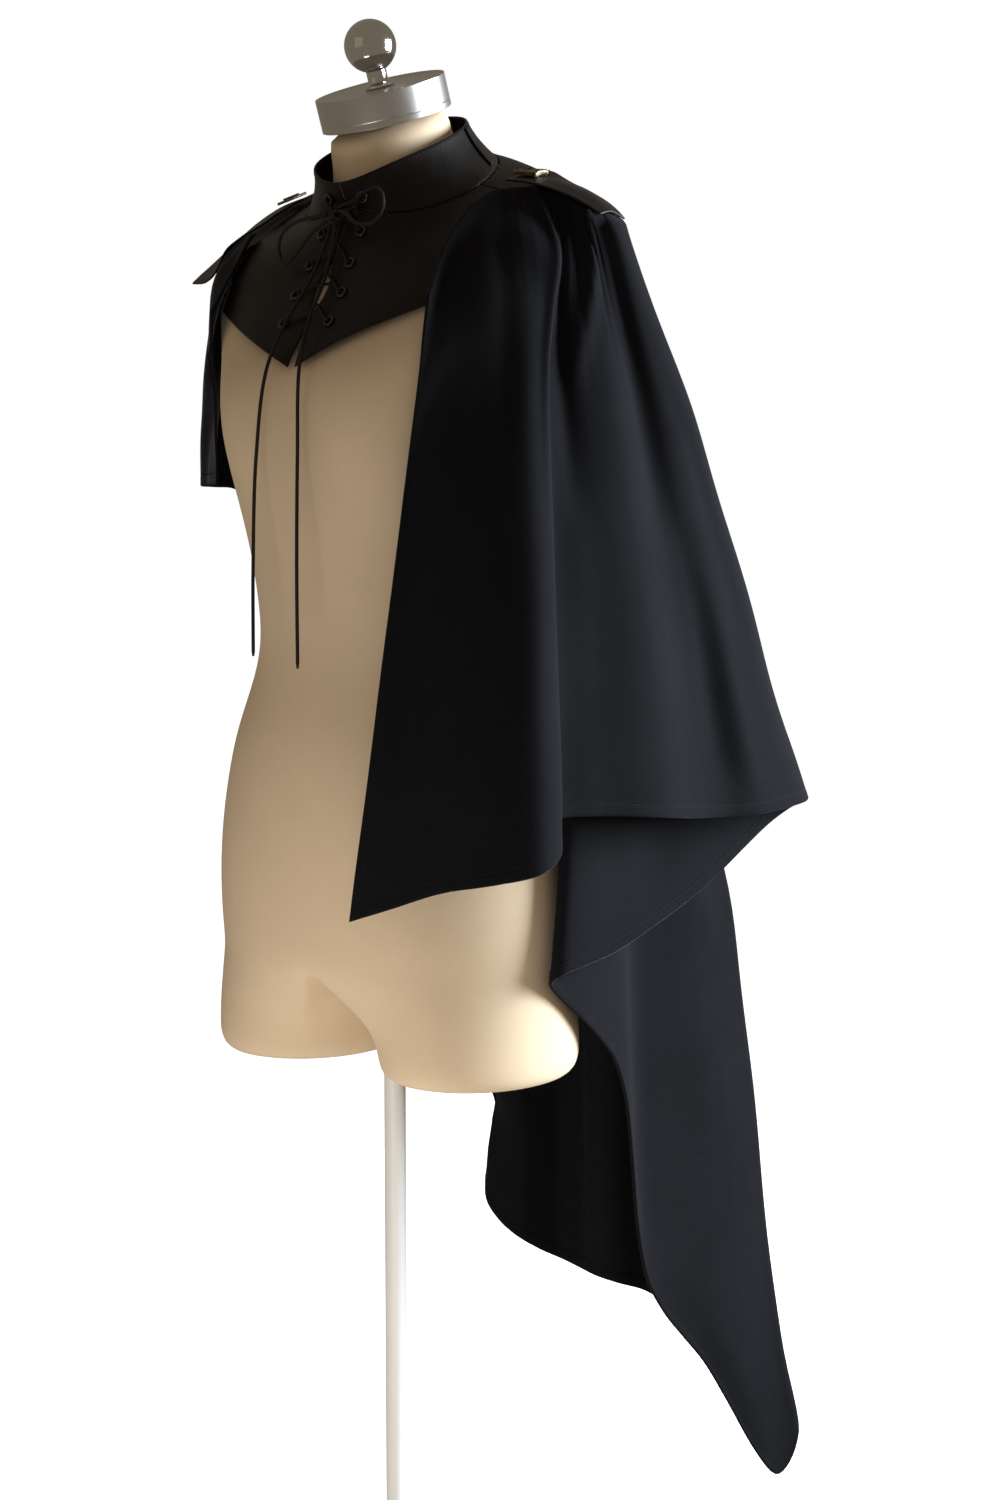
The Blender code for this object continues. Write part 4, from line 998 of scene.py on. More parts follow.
def cape_surface():
    """Fine middle surface of the cloth, its outward normals, guide numbers, shares and distances from the hem."""
    cage, spots, places = cape_cage()
    ends = np.linspace(spots[0], spots[-1], CLOTH_COLUMNS)
    edge = (places[1] - places[0]) * np.array(FRONT_EDGE_COLUMNS)
    last = (places[-1] - places[-2]) * np.array(LAST_EDGE_COLUMNS)
    fine = np.unique(np.concatenate([ends, places[0] + edge, places[-1] - last]))
    wide = np.stack([smooth(fine, spots, row) for row in cage])
    many = np.linspace(0, CAPE_ROWS, 181)
    tall = smooth(many, np.arange(CAPE_ROWS + 1), wide)
    length = grid_uv(tall)[..., 1]
    rows = CLOTH_STEPS + len(HEM_ROWS)
    grid = np.zeros((rows, len(fine), 3))
    share = np.zeros((rows, len(fine)))
    from_hem = np.zeros((rows, len(fine)))
    steps = np.linspace(0, 1, CLOTH_STEPS + 1)[:-1]
    for c in range(len(fine)):
        total = length[-1, c]
        at = np.concatenate([steps * (total - HEM_ROWS[0]), total - np.array(HEM_ROWS)])
        grid[:, c] = rows_at(at, length[:, c], tall[:, c])
        share[:, c] = at / total
        from_hem[:, c] = total - at
    guide = np.broadcast_to(np.interp(fine, places, np.arange(len(places))), (rows, len(fine)))
    return grid, grid_normals(grid), guide, share, from_hem


def tuck_rows(grid, normal, guide):
    """The grid with rows added above the seam: turned in, run on under the flaps and clear of the form."""
    table = np.asarray(TUCKS)
    way = rows_at(guide[0], table[:, 0], table[:, 1:])
    added = []
    for k in range(TUCK_ROWS, 0, -1):
        t = k / TUCK_ROWS
        run = way * np.array([t ** 1.3, t ** 1.3, t ** 0.8])
        added.append(grid[0] + run + normal[0] * (-TURN_IN * min(1.0, 2 * t)) + np.array([0, 0, 1e-5]) * k)
    return np.concatenate([clear_of_form(np.stack(added), form_cloud(), CLOTH_CLEAR - TURN_IN), grid])


def push(grid, guide, share):
    """The grid with its soft pushes."""
    out = np.zeros_like(share)
    for middle, half, at, reach, distance in PUSHES:
        out += distance * np.exp(-((guide - middle) / half) ** 2 - ((share - at) / reach) ** 2)
    return grid + out[..., None] * np.array(PUSH_WAY)


def crease_heights(guide, share):
    """How far the creases and gathers lift or sink the cloth."""
    rise = np.zeros_like(share)
    for top, hem, half, height, first, last in CREASES:
        line = top + (hem - top) * share + 0.06 * np.sin(7.0 * share + top)
        middle = (first + last) / 2
        window = np.clip(1 - ((share - middle) / ((last - first) / 2)) ** 2, 0.0, 1.0) ** 1.2
        rise += height * window * np.exp(-((guide - line) / half) ** 2)
    for first, last, count, height, fade in GATHERS:
        turn = (guide - first) / (last - first)
        inside = ease(turn, 0.0, 0.08) * (1 - ease(turn, 0.92, 1.0))
        wave = np.sin(2 * math.pi * count * turn + 1.3 * np.sin(9 * turn)) * (0.7 + 0.3 * np.sin(23 * turn))
        rise += height * inside * wave * np.exp(-share / fade) * ease(share, 0.0, 0.006)
    rise += 0.0007 * np.sin(1.9 * guide + 5.0 * share) * np.sin(11.0 * share + 0.8 * guide) * ease(share, 0.05, 0.3)
    return rise


def colour_value(name, description, default):
    """A colour that the panel shows."""
    return bpy.props.FloatVectorProperty(name=name, description=description, default=default, subtype="COLOR")


def amount_value(name, description, default, unit="NONE"):
    """A number that the panel shows."""
    return bpy.props.FloatProperty(name=name, description=description, default=default, unit=unit)


class CapeLook(bpy.types.PropertyGroup):
    """Sizes and colours of the finished cape."""

    cloth_thick: amount_value("Cloth thickness", "Thickness of the cape's cloth", 0.002, "LENGTH")
    hem_fold: amount_value("Hem fold", "Extra thickness of the turned-up hem", 0.0009, "LENGTH")
    cloth_colour: colour_value("Cloth", "Colour of the cape's cloth", (0.008, 0.0083, 0.01))
    leather_colour: colour_value("Leather", "Colour of the collar and flaps", (0.0058, 0.0046, 0.0042))
    linen_colour: colour_value("Linen", "Colour of the dress form", (0.8, 0.64, 0.445))
    lace_colour: colour_value("Lace", "Colour of the lace", (0.006, 0.0048, 0.0045))
    steel_colour: colour_value("Steel", "Colour of the neck cap and finial", (0.62, 0.61, 0.59))
    brass_colour: colour_value("Brass", "Colour of the buckles", (0.26, 0.21, 0.13))
    fitting_colour: colour_value("Eyelets", "Colour of the eyelets", (0.085, 0.078, 0.07))
    stand_colour: colour_value("Stand", "Colour of the pole and base", (0.82, 0.82, 0.8))


class StageLook(bpy.types.PropertyGroup):
    """Light and floor of the studio."""

    floor_colour: colour_value("Floor", "Colour of the studio floor", (0.9, 0.9, 0.9))
    key_power: amount_value("Key light", "Power of the large soft light", 240.0, "POWER")
    low_power: amount_value("Low light", "Power of the soft light from low in front", 3.2, "POWER")
    fill_power: amount_value("Fill light", "Power of the soft light from the front", 2.0, "POWER")
    surround: amount_value("Surround", "Brightness of the warm surround", 0.24)


def fresh():
    """Leave edit mode and deselect everything."""
    if bpy.context.object and bpy.context.object.mode != "OBJECT":
        bpy.ops.object.mode_set(mode="OBJECT")
    bpy.ops.object.select_all(action="DESELECT")


def change(obj, kind, **values):
    """Add a modifier to a piece and apply it."""
    fresh()
    obj.select_set(True)
    bpy.context.view_layer.objects.active = obj
    step = obj.modifiers.new(kind.lower(), kind)
    for key, value in values.items():
        setattr(step, key, value)
    bpy.ops.object.modifier_apply(modifier=step.name)


def turn_by_hand(name, sides, profile, closed=False):
    """A turned piece about Z: a circle extruded ring by ring along a profile of (radius, height)."""
    extrude = bpy.ops.mesh.extrude_edges_move if closed else bpy.ops.mesh.extrude_region_move
    fresh()
    radius, height = profile[0]
    bpy.ops.mesh.primitive_circle_add(vertices=sides, radius=radius, fill_type="NOTHING" if closed else "NGON",
                                      location=(0, 0, 0))
    obj = bpy.context.object
    obj.name = name
    bpy.ops.object.mode_set(mode="EDIT")
    bpy.ops.mesh.select_all(action="SELECT")
    bpy.ops.transform.translate(value=(0, 0, height))
    for next_radius, next_height in profile[1:]:
        extrude(TRANSFORM_OT_translate={"value": (0, 0, next_height - height)})
        scale = next_radius / radius
        bpy.ops.transform.resize(value=(scale, scale, 1.0))
        radius, height = next_radius, next_height
    bpy.ops.mesh.select_all(action="SELECT")
    bpy.ops.mesh.remove_doubles(threshold=0.00001)
    bpy.ops.mesh.normals_make_consistent(inside=False)
    bpy.ops.object.mode_set(mode="OBJECT")
    bpy.ops.object.shade_smooth_by_angle(angle=math.radians(40))
    return obj


def round_edges(obj, width, segments=3):
    """Bevel a piece's sharp edges."""
    change(obj, "BEVEL", width=width, segments=segments, limit_method="ANGLE", angle_limit=math.radians(30))
    bpy.ops.object.shade_smooth_by_angle(angle=math.radians(40))


def turned_uv(obj):
    """A map of a turned piece: length round its axis and height, in metres, before it is placed."""
    layer = obj.data.uv_layers.new(name="round")
    points = np.array([v.co for v in obj.data.vertices])
    corner = np.zeros(len(obj.data.loops), np.int32)
    obj.data.loops.foreach_get("vertex_index", corner)
    angle = np.abs(np.arctan2(points[:, 0], -points[:, 1]))
    across = np.linalg.norm(points[:, :2], axis=1)
    uv = np.stack([angle * CAP_RADIUS, points[:, 2] + across], axis=1)
    layer.data.foreach_set("uv", uv[corner].astype(np.float32).ravel())


def cap_frame():
    """Place and tilt of the neck's top."""
    top = FORM_TABLE[-1]
    lean = math.atan(top[5])
    return Matrix.Translation((0.0, top[1], top[0])) @ Matrix.Rotation(lean, 4, "X")


def punch(obj, frames):
    """Cut round holes through a leather piece."""
    bm = bmesh.new()
    for place in frames:
        bmesh.ops.create_cone(bm, cap_ends=True, segments=24, radius1=EYELET_HOLE, radius2=EYELET_HOLE,
                              depth=0.014, matrix=place)
    mesh = bpy.data.meshes.new("punch")
    bm.to_mesh(mesh)
    bm.free()
    cutter = bpy.data.objects.new("punch", mesh)
    bpy.context.scene.collection.objects.link(cutter)
    change(obj, "BOOLEAN", operation="DIFFERENCE", solver="EXACT", object=cutter)
    bpy.data.objects.remove(cutter, do_unlink=True)


def eyelet_frames():
    """Place of each eyelet, by side and row."""
    frames = {}
    for row, (z, x) in enumerate(EYELETS):
        for word, side in SIDES:
            place, normal = front_leather(np.array([side * x]), np.array([z]), np.array([EYELET_LIFT]))
            turn = Vector((0, 0, 1)).rotation_difference(Vector(normal[0])).to_matrix().to_4x4()
            frames[(word, row)] = Matrix.Translation(place[0]) @ turn
    return frames


class CAPE_OT_form(bpy.types.Operator):
    """Model the dress form's linen body over its solid"""

    bl_idname = "cape_look.form"
    bl_label = "Dress form"

    def execute(self, context):
        n = FORM_SIDES
        angles = 2 * math.pi * np.arange(n) / n
        points = [p for h in FORM_RINGS for p in form_point(h, angles)]
        faces = tube_faces(len(FORM_RINGS), n)
        del faces[-2]
        front, back = points[0], points[n // 2]
        bridge = []
        for k in range(1, BRIDGE_POINTS + 1):
            share = k / (BRIDGE_POINTS + 1)
            spot = front * (1 - share) + back * share
            spot[2] -= CROTCH_DIP * math.sin(math.pi * share) ** 0.7
            bridge.append(len(points))
            points.append(spot)
        left = list(range(0, n // 2 + 1)) + bridge[::-1]
        right = list(range(n // 2, n)) + [0] + bridge
        for loop, side in ((left, 1), (right, -1)):
            start = np.array([points[i] for i in loop])
            turn = np.arctan2(start[:, 0] - side * STUB_X, STUB_Y - start[:, 1])
            last = loop
            for share, rise, size in STUB_RINGS:
                x = side * STUB_X + STUB_HALF_WIDTH * size * np.sin(turn)
                y = STUB_Y - STUB_HALF_DEPTH * size * np.cos(turn)
                ring = list(range(len(points), len(points) + len(loop)))
                points += list(np.stack([start[:, 0] + (x - start[:, 0]) * share,
                                         start[:, 1] + (y - start[:, 1]) * share,
                                         np.full(len(loop), STUB_BOTTOM + rise)], axis=1))
                for k in range(len(loop)):
                    m = (k + 1) % len(loop)
                    faces.append((last[k], last[m], ring[m], ring[k]))
                last = ring
            faces.append(tuple(last))
        points = np.array(points)
        angle = np.abs(np.arctan2(points[:, 0], -points[:, 1]))
        uv = np.stack([angle * LINEN_RADIUS, points[:, 2]], axis=1)
        body = add_piece("linen_form", points, faces, linen_finish(context.scene.cape_look), uv)
        change(body, "SUBSURF", levels=1, render_levels=1)
        body.data.shade_smooth()
        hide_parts("form_body")
        return {"FINISHED"}


class CAPE_OT_stand(bpy.types.Operator):
    """Turn the neck cap, the finial, the pole and the base"""

    bl_idname = "cape_look.stand"
    bl_label = "Cap, finial and stand"

    def execute(self, context):
        look = context.scene.cape_look
        steel = metal_finish("brushed_steel", look.steel_colour, 0.72, 0.3)
        polish = metal_finish("polished_steel", look.steel_colour, 0.9, 0.1, 60.0)
        paint = paint_finish(look)
        place = cap_frame()
        r, h = CAP_RADIUS, CAP_HEIGHT
        cap = turn_by_hand("steel_cap", 96, [
            (r, 0.0), (r, h * 0.18), (r * 0.994, h * 0.2), (r, h * 0.22), (r, h), (r * 0.94, h),
            (r * 0.9, h - 0.0008), (r * 0.2, h - 0.0008)])
        round_edges(cap, 0.0012)
        turned_uv(cap)
        cap.data.transform(place @ Matrix.Translation((0, 0, FIT_GAP)))
        dress(cap, steel)
        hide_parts("neck_cap")
        r, rise = STEM_RADIUS, BALL_RISE
        profile = [(r * 1.5, 0.0), (r * 1.45, 0.0018), (r * 1.12, 0.0032), (r, 0.0055)]
        for turn in np.linspace(math.asin(r / BALL_RADIUS), math.pi - 0.06, 28):
            profile.append((BALL_RADIUS * math.sin(turn), rise - BALL_RADIUS * math.cos(turn)))
        ball = turn_by_hand("ball_finial", 64, profile)
        turned_uv(ball)
        ball.data.transform(place @ Matrix.Translation((0, 0, CAP_HEIGHT + 2 * FIT_GAP)))
        dress(ball, polish)
        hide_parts("finial")
        r, foot = POLE_RADIUS, BOSS_HEIGHT + FIT_GAP
        pole = turn_by_hand("pale_pole", 48, [(r, foot), (r, foot + 0.03), (r, POLE_TOP)])
        round_edges(pole, 0.0008)
        dress(pole, paint)
        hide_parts("stand_pole")
        r, h = BASE_RADIUS, BASE_HEIGHT
        base = turn_by_hand("pale_base", 128, [
            (r - 0.002, 0.0), (r, 0.002), (r, h - 0.0045), (r - 0.0015, h - 0.0015), (r - 0.005, h),
            (BOSS_RADIUS + 0.004, h + 0.0008), (BOSS_RADIUS, h + 0.0025), (BOSS_RADIUS - 0.003, BOSS_HEIGHT),
            (POLE_RADIUS * 1.2, BOSS_HEIGHT)])
        round_edges(base, 0.0007, 2)
        dress(base, paint)
        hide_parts("stand_base")
        return {"FINISHED"}


class CAPE_OT_cloth(bpy.types.Operator):
    """Drape the cape's cloth over its solids, with creases and a stitched hem"""

    bl_idname = "cape_look.cloth"
    bl_label = "Cape cloth"

    def execute(self, context):
        look = context.scene.cape_look
        wool = wool_finish(look)
        grid, normal, guide, share, from_hem = cape_surface()
        grid = grid + normal * (crease_heights(guide, share) * (0.35 + 0.65 * ease(from_hem, 0.0, 0.06)))[..., None]
        grid = push(grid, guide, share)
        grid = tuck_rows(grid, grid_normals(grid), guide)
        guide, share, from_hem = (np.concatenate([np.repeat(v[:1], TUCK_ROWS, axis=0), v])
                                  for v in (guide, share, from_hem))
        normal = grid_normals(grid)
        half = look.cloth_thick / 2
        front_edge = grid_uv(grid)[..., 0]
        edge = np.minimum(from_hem, front_edge)
        band = 1 - ease(edge, *HEM_BAND)
        groove = GROOVE_DEPTH * np.exp(-((edge - HEM_STITCH) / GROOVE_HALF) ** 2)
        tip = 0.3 + 0.7 * np.sqrt(1 - (1 - np.clip(edge / EDGE_ROUND, 0.0, 1.0)) ** 2)
        outer = (half + HEM_RELIEF * band - groove) * tip
        inner = (half + look.hem_fold * band - groove) * tip
        points, faces = wall_parts(grid - normal * inner[..., None], grid + normal * outer[..., None])
        uv = grid_uv(grid).reshape(-1, 2)
        cloth = add_piece("cape_cloth", points, faces, wool, np.concatenate([uv, uv]))
        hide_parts(*CAPE_NODES)
        row = TUCK_ROWS + CLOTH_STEPS + STITCH_ROW
        column = int(np.argmin(np.abs(front_edge[40] - HEM_STITCH)))
        runs = []
        for sign, level in ((1, outer), (-1, inner)):
            face = grid + sign * normal * level[..., None]
            for part in ((row, slice(column, None)), (slice(TUCK_ROWS + 2, row + 1), column)):
                runs.append((face[part], sign * normal[part]))
        thread = stitches("hem_stitching", runs, thread_finish("black_thread", BLACK_THREAD))
        return {"FINISHED"}


class CAPE_OT_collar(bpy.types.Operator):
    """Shape the leather stand and yoke, with punched holes and topstitching"""

    bl_idname = "cape_look.collar"
    bl_label = "Leather collar"

    def execute(self, context):
        finishes = leather_finish(context.scene.cape_look), thread_finish("brown_thread", BROWN_THREAD)
        frames = eyelet_frames()
        shares = close_shares(70, (0.003, 0.009))
        first = math.asin(float(front_gap(STAND_FRONT_Z)) / STAND_FRONT_RADIUS)
        for word, side in SIDES:
            turn = (first + (math.radians(SIDE_SEAM - SEAM_GAP) - first) * shares) * side
            self.stand(word, turn, STAND_FLAT, [frames[(word, 0)]], finishes)
            inner, outer = self.yoke_front(side)
            runs = [self.edge_run(inner, outer, YOKE_INSET, -1), self.edge_run(inner, outer, SEAM_INSET, 0)]
            if side > 0:
                line = even_line([(x, 0.0, z) for x, z in FACING_STITCH], 40)
                runs.append(front_leather(line[:, 0], line[:, 2], 0.0))
            holes = [frames[(word, r)] for r in range(1, len(EYELETS))]
            self.piece("yoke", word, (inner, outer), runs, YOKE_FLAT, "draped", holes, finishes)
        first = SIDE_SEAM + SEAM_GAP
        turn = np.radians(first + (360.0 - 2 * first) * close_shares(50, (0.003, 0.009)))
        self.stand("back", turn, STAND_BACK_FLAT, [], finishes)
        inner, outer = self.yoke_back(0), self.yoke_back(1)
        runs = [self.edge_run(inner, outer, SEAM_INSET, 0)]
        self.piece("yoke", "back", (inner, outer), runs, YOKE_BACK_FLAT, "draped", [], finishes)
        return {"FINISHED"}

    def stand(self, word, turn, flat, holes, finishes):
        """One piece of the stand between the angles of its ends."""
        angle, share = np.meshgrid(turn, close_shares(18))
        inner, outer = stand_point(angle, share, 0), stand_point(angle, share, 1)
        runs = [self.edge_run(inner, outer, STAND_INSET, -1), self.edge_run(inner, outer, SEAM_INSET, 0)]
        self.piece("stand", word, (inner, outer), runs, flat, "stretched", holes, finishes)

    def piece(self, kind, word, grids, runs, flat, held, holes, finishes):
        """One leather piece with its holes and its stitching."""
        leather, thread = finishes
        made, area = leather_wall(f"leather_{kind}_{word}", *grids, leather)
        if holes:
            punch(made, holes)
        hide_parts(f"collar_stand_{word}" if kind == "stand" else f"yoke_{word}")
        seam = stitches(f"{kind}_stitching_{word}", runs, thread)

    def edge_run(self, inner, outer, inset, edge):
        """A line on a wall's outer face, this far in from its first or last row, with its normals."""
        down = grid_uv(outer)[..., 1]
        at = np.full(down.shape[1], inset) if edge == 0 else down[-1] - inset
        out = unit(outer - inner)
        return [np.array([rows_at(at[c], down[:, c], grid[:, c]) for c in range(4, down.shape[1] - 4)])
                for grid in (outer, out)]

    def yoke_front(self, side):
        """Inner and outer grids of one yoke front."""
        shares = np.concatenate([YOKE_CORNER_SHARE * close_shares(36, (0.006, 0.014))[:-1],
                                 YOKE_CORNER_SHARE + (1 - YOKE_CORNER_SHARE) * close_shares(22, (0.008, 0.02))])
        down = close_shares(30, (0.008, 0.016))
        last = math.radians(SHOULDER_SEAM - SEAM_GAP)
        first = math.asin(float(front_gap(YOKE_FRONT_Z)) / YOKE_FRONT_RADIUS)
        corner = math.radians(YOKE_CORNER_ANGLE)
        run = np.clip(shares / YOKE_CORNER_SHARE, 0.0, 1.0)
        rest = np.clip((shares - YOKE_CORNER_SHARE) / (1 - YOKE_CORNER_SHARE), 0.0, 1.0)
        start = np.where(rest > 0, corner + (last - corner) * rest, first + (corner - first) * run)
        x = GAP_BOTTOM + (YOKE_HALF_WIDTH - GAP_BOTTOM) * run
        z = YOKE_TIP_Z + (YOKE_CORNER_Z - YOKE_TIP_Z) * run + (YOKE_SIDE_HEIGHT - YOKE_CORNER_Z) * rest
        top = seam_height(start) - SEAM_DROP
        seam = form_point(top, start)
        at_x = seam[:, 0] + (x - seam[:, 0]) * down[:, None]
        at_z = seam[:, 2] + (z - seam[:, 2]) * down[:, None]
        edge = at_x[:, :1]
        at_x = at_x + (front_gap(at_z) - edge) * np.exp(-(at_x - edge) / GAP_REACH)
        angle, height = front_spot(at_x, at_z)
        angle[0], height[0] = start, top
        angle[:, -1] = last
        height[:, -1] = top[-1] + (YOKE_SIDE_HEIGHT - top[-1]) * down
        return [form_off(height, angle * side, UNDER_LEATHER + LEATHER * k) for k in (0, 1)]

    def yoke_back(self, layer):
        """Grid of the yoke across the back, from shoulder to shoulder."""
        first = SHOULDER_SEAM + SEAM_GAP
        share, down = np.meshgrid(close_shares(80, (0.003, 0.008)), close_shares(18, (0.012, 0.03)))
        angle = np.radians(first + (360.0 - 2 * first) * share)
        top = seam_height(angle) - SEAM_DROP
        low = YOKE_SIDE_HEIGHT + (YOKE_BACK_HEIGHT - YOKE_SIDE_HEIGHT) * np.sin(math.pi * share) ** 1.5
        return form_off(top + (low - top) * down, angle, UNDER_LEATHER + LEATHER * layer)


class CAPE_OT_flaps(bpy.types.Operator):
    """Shape the shoulder flaps, their straps and their buckles"""

    bl_idname = "cape_look.flaps"
    bl_label = "Shoulder flaps"

    def execute(self, context):
        look = context.scene.cape_look
        leather = leather_finish(look)
        brass = metal_finish("worn_brass", look.brass_colour, 0.35, 0.46, 420.0)
        cloud = form_cloud()
        for word, table, side, flat in FLAPS:
            cage = self.flap_cage(np.asarray(table), side, cloud)
            normal = grid_normals(cage)
            if normal[3, 3, 2] < 0:
                normal = -normal
            grid = self.finer(cage)
            rise = self.finer(cage + normal * LEATHER)
            flap, area = leather_wall(f"leather_flap_{word}", grid, rise, leather)
            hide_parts(f"epaulette_{word}")
            strap = self.strap(word, side, leather)
            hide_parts(f"strap_{word}")
            self.buckle(word, cage + normal * LEATHER, normal, brass)
        return {"FINISHED"}

    def flap_cage(self, table, side, cloud):
        """The flap's inner face at the spacing of its solid."""
        grid = np.zeros((EPAULETTE_ROWS + 1, EPAULETTE_COLUMNS + 1, 3))
        for c in range(EPAULETTE_COLUMNS + 1):
            x = table[0, 0] + (table[-1, 0] - table[0, 0]) * c / EPAULETTE_COLUMNS
            row = smooth(np.array(x), table[:, 0], table[:, 1:])
            across = np.array([[side * x, row[0], row[1]], [side * x, row[2], row[3]], [side * x, row[4], row[5]]])
            grid[:, c] = smooth(np.linspace(0, 2, EPAULETTE_ROWS + 1), (0.0, 1.0, 2.0), across)
        return clear_of_form(grid, cloud, FLAP_CLEAR)

    def finer(self, cage):
        """A smooth grid with more rows and columns through a cage."""
        columns = close_shares(48, (0.005, 0.012)) * EPAULETTE_COLUMNS
        rows = close_shares(36, (0.006, 0.014)) * EPAULETTE_ROWS
        wide = np.stack([smooth(columns, np.arange(EPAULETTE_COLUMNS + 1), row) for row in cage])
        return smooth(rows, np.arange(EPAULETTE_ROWS + 1), wide)

    def strap(self, word, side, leather):
        """A narrow strap down the stand's side."""
        share, turn = np.meshgrid(0.97 - 0.9 * close_shares(24), (close_shares(8, (0.03, 0.08)) - 0.5) * 2,
                                  indexing="ij")
        angle = math.radians(STRAP_ANGLE) * side + turn * STRAP_WIDTH / 2 / STRAP_RADIUS
        face = stand_point(angle, share, 1)
        out = unit(face - stand_point(angle, share, 0))
        inner, outer = face + out * STRAP_LIFT, face + out * (STRAP_LIFT + STRAP_THICK)
        return leather_wall(f"leather_strap_{word}", inner, outer, leather)[0]

    def buckle(self, word, face, normal, brass):
        """A square buckle frame with its prong, lying on the flap."""
        long = Vector(face[3, 2] - face[3, 0]).normalized()
        up = Vector(normal[3, 1])
        long = (long - up * long.dot(up)).normalized()
        place = Matrix((long, up.cross(long), up)).transposed().to_4x4()
        place = Matrix.Translation(Vector(face[3, 1]) + up * (BUCKLE_THICK / 2 + BUCKLE_LIFT)) @ place
        fresh()
        bpy.ops.mesh.primitive_cube_add(size=1.0, location=(0, 0, 0))
        ring = bpy.context.object
        ring.name = f"brass_buckle_{word}"
        bpy.ops.object.mode_set(mode="EDIT")
        bpy.ops.transform.resize(value=(BUCKLE_LONG, BUCKLE_WIDE, BUCKLE_THICK))
        bm = bmesh.from_edit_mesh(ring.data)
        for face_here in bm.faces:
            face_here.select = abs(face_here.normal.z) > 0.9
        bm.select_flush_mode()
        bmesh.update_edit_mesh(ring.data)
        bpy.ops.mesh.select_mode(type="FACE")
        bpy.ops.mesh.inset(thickness=BUCKLE_BAR, use_individual=True)
        bpy.ops.mesh.bridge_edge_loops()
        bpy.ops.mesh.select_all(action="SELECT")
        bpy.ops.mesh.normals_make_consistent(inside=False)
        bpy.ops.object.mode_set(mode="OBJECT")
        round_edges(ring, 0.0007)
        bpy.ops.mesh.primitive_cylinder_add(
            vertices=16, radius=PRONG_RADIUS, depth=BUCKLE_LONG * 0.94,
            location=(0, 0, BUCKLE_THICK / 2 + PRONG_LIFT), rotation=(0, math.pi / 2, 0))
        prong = bpy.context.object
        bpy.ops.object.transform_apply(location=True, rotation=True, scale=True)
        round_edges(prong, 0.0003, 2)
        ring.select_set(True)
        bpy.context.view_layer.objects.active = ring
        bpy.ops.object.join()
        ring.data.transform(place)
        dress(ring, brass)
        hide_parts(f"buckle_{word}")


class CAPE_OT_eyelets(bpy.types.Operator):
    """Turn one eyelet and set a copy in each hole"""

    bl_idname = "cape_look.eyelets"
    bl_label = "Eyelets"

    def execute(self, context):
        metal = metal_finish("dark_eyelet", context.scene.cape_look.fitting_colour, 0.4, 0.34, 900.0)
        outer, barrel, bore, rise = EYELET_OUTER, EYELET_BARREL, EYELET_BORE, EYELET_RISE
        low = -LEATHER - EYELET_LIFT
        model = turn_by_hand("eyelet_model", 40, [
            (bore, low), (barrel, low), (barrel, 0.0), (outer, 0.0), (outer, rise * 0.25),
            (outer * 0.96, rise * 0.62), (outer * 0.86, rise * 0.9), (outer * 0.72, rise), (barrel, rise * 0.92),
            (bore * 1.12, rise * 0.7), (bore, rise * 0.3), (bore, low)], closed=True)
        for (word, row), place in eyelet_frames().items():
            copy = model.copy()
            copy.data = model.data.copy()
            copy.name = f"dark_eyelet_{word}_{row + 1}"
            bpy.context.scene.collection.objects.link(copy)
            copy.data.transform(place)
            dress(copy, metal)
            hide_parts(f"eyelet_{word}_{row + 1}")
        bpy.data.objects.remove(model, do_unlink=True)
        return {"FINISHED"}


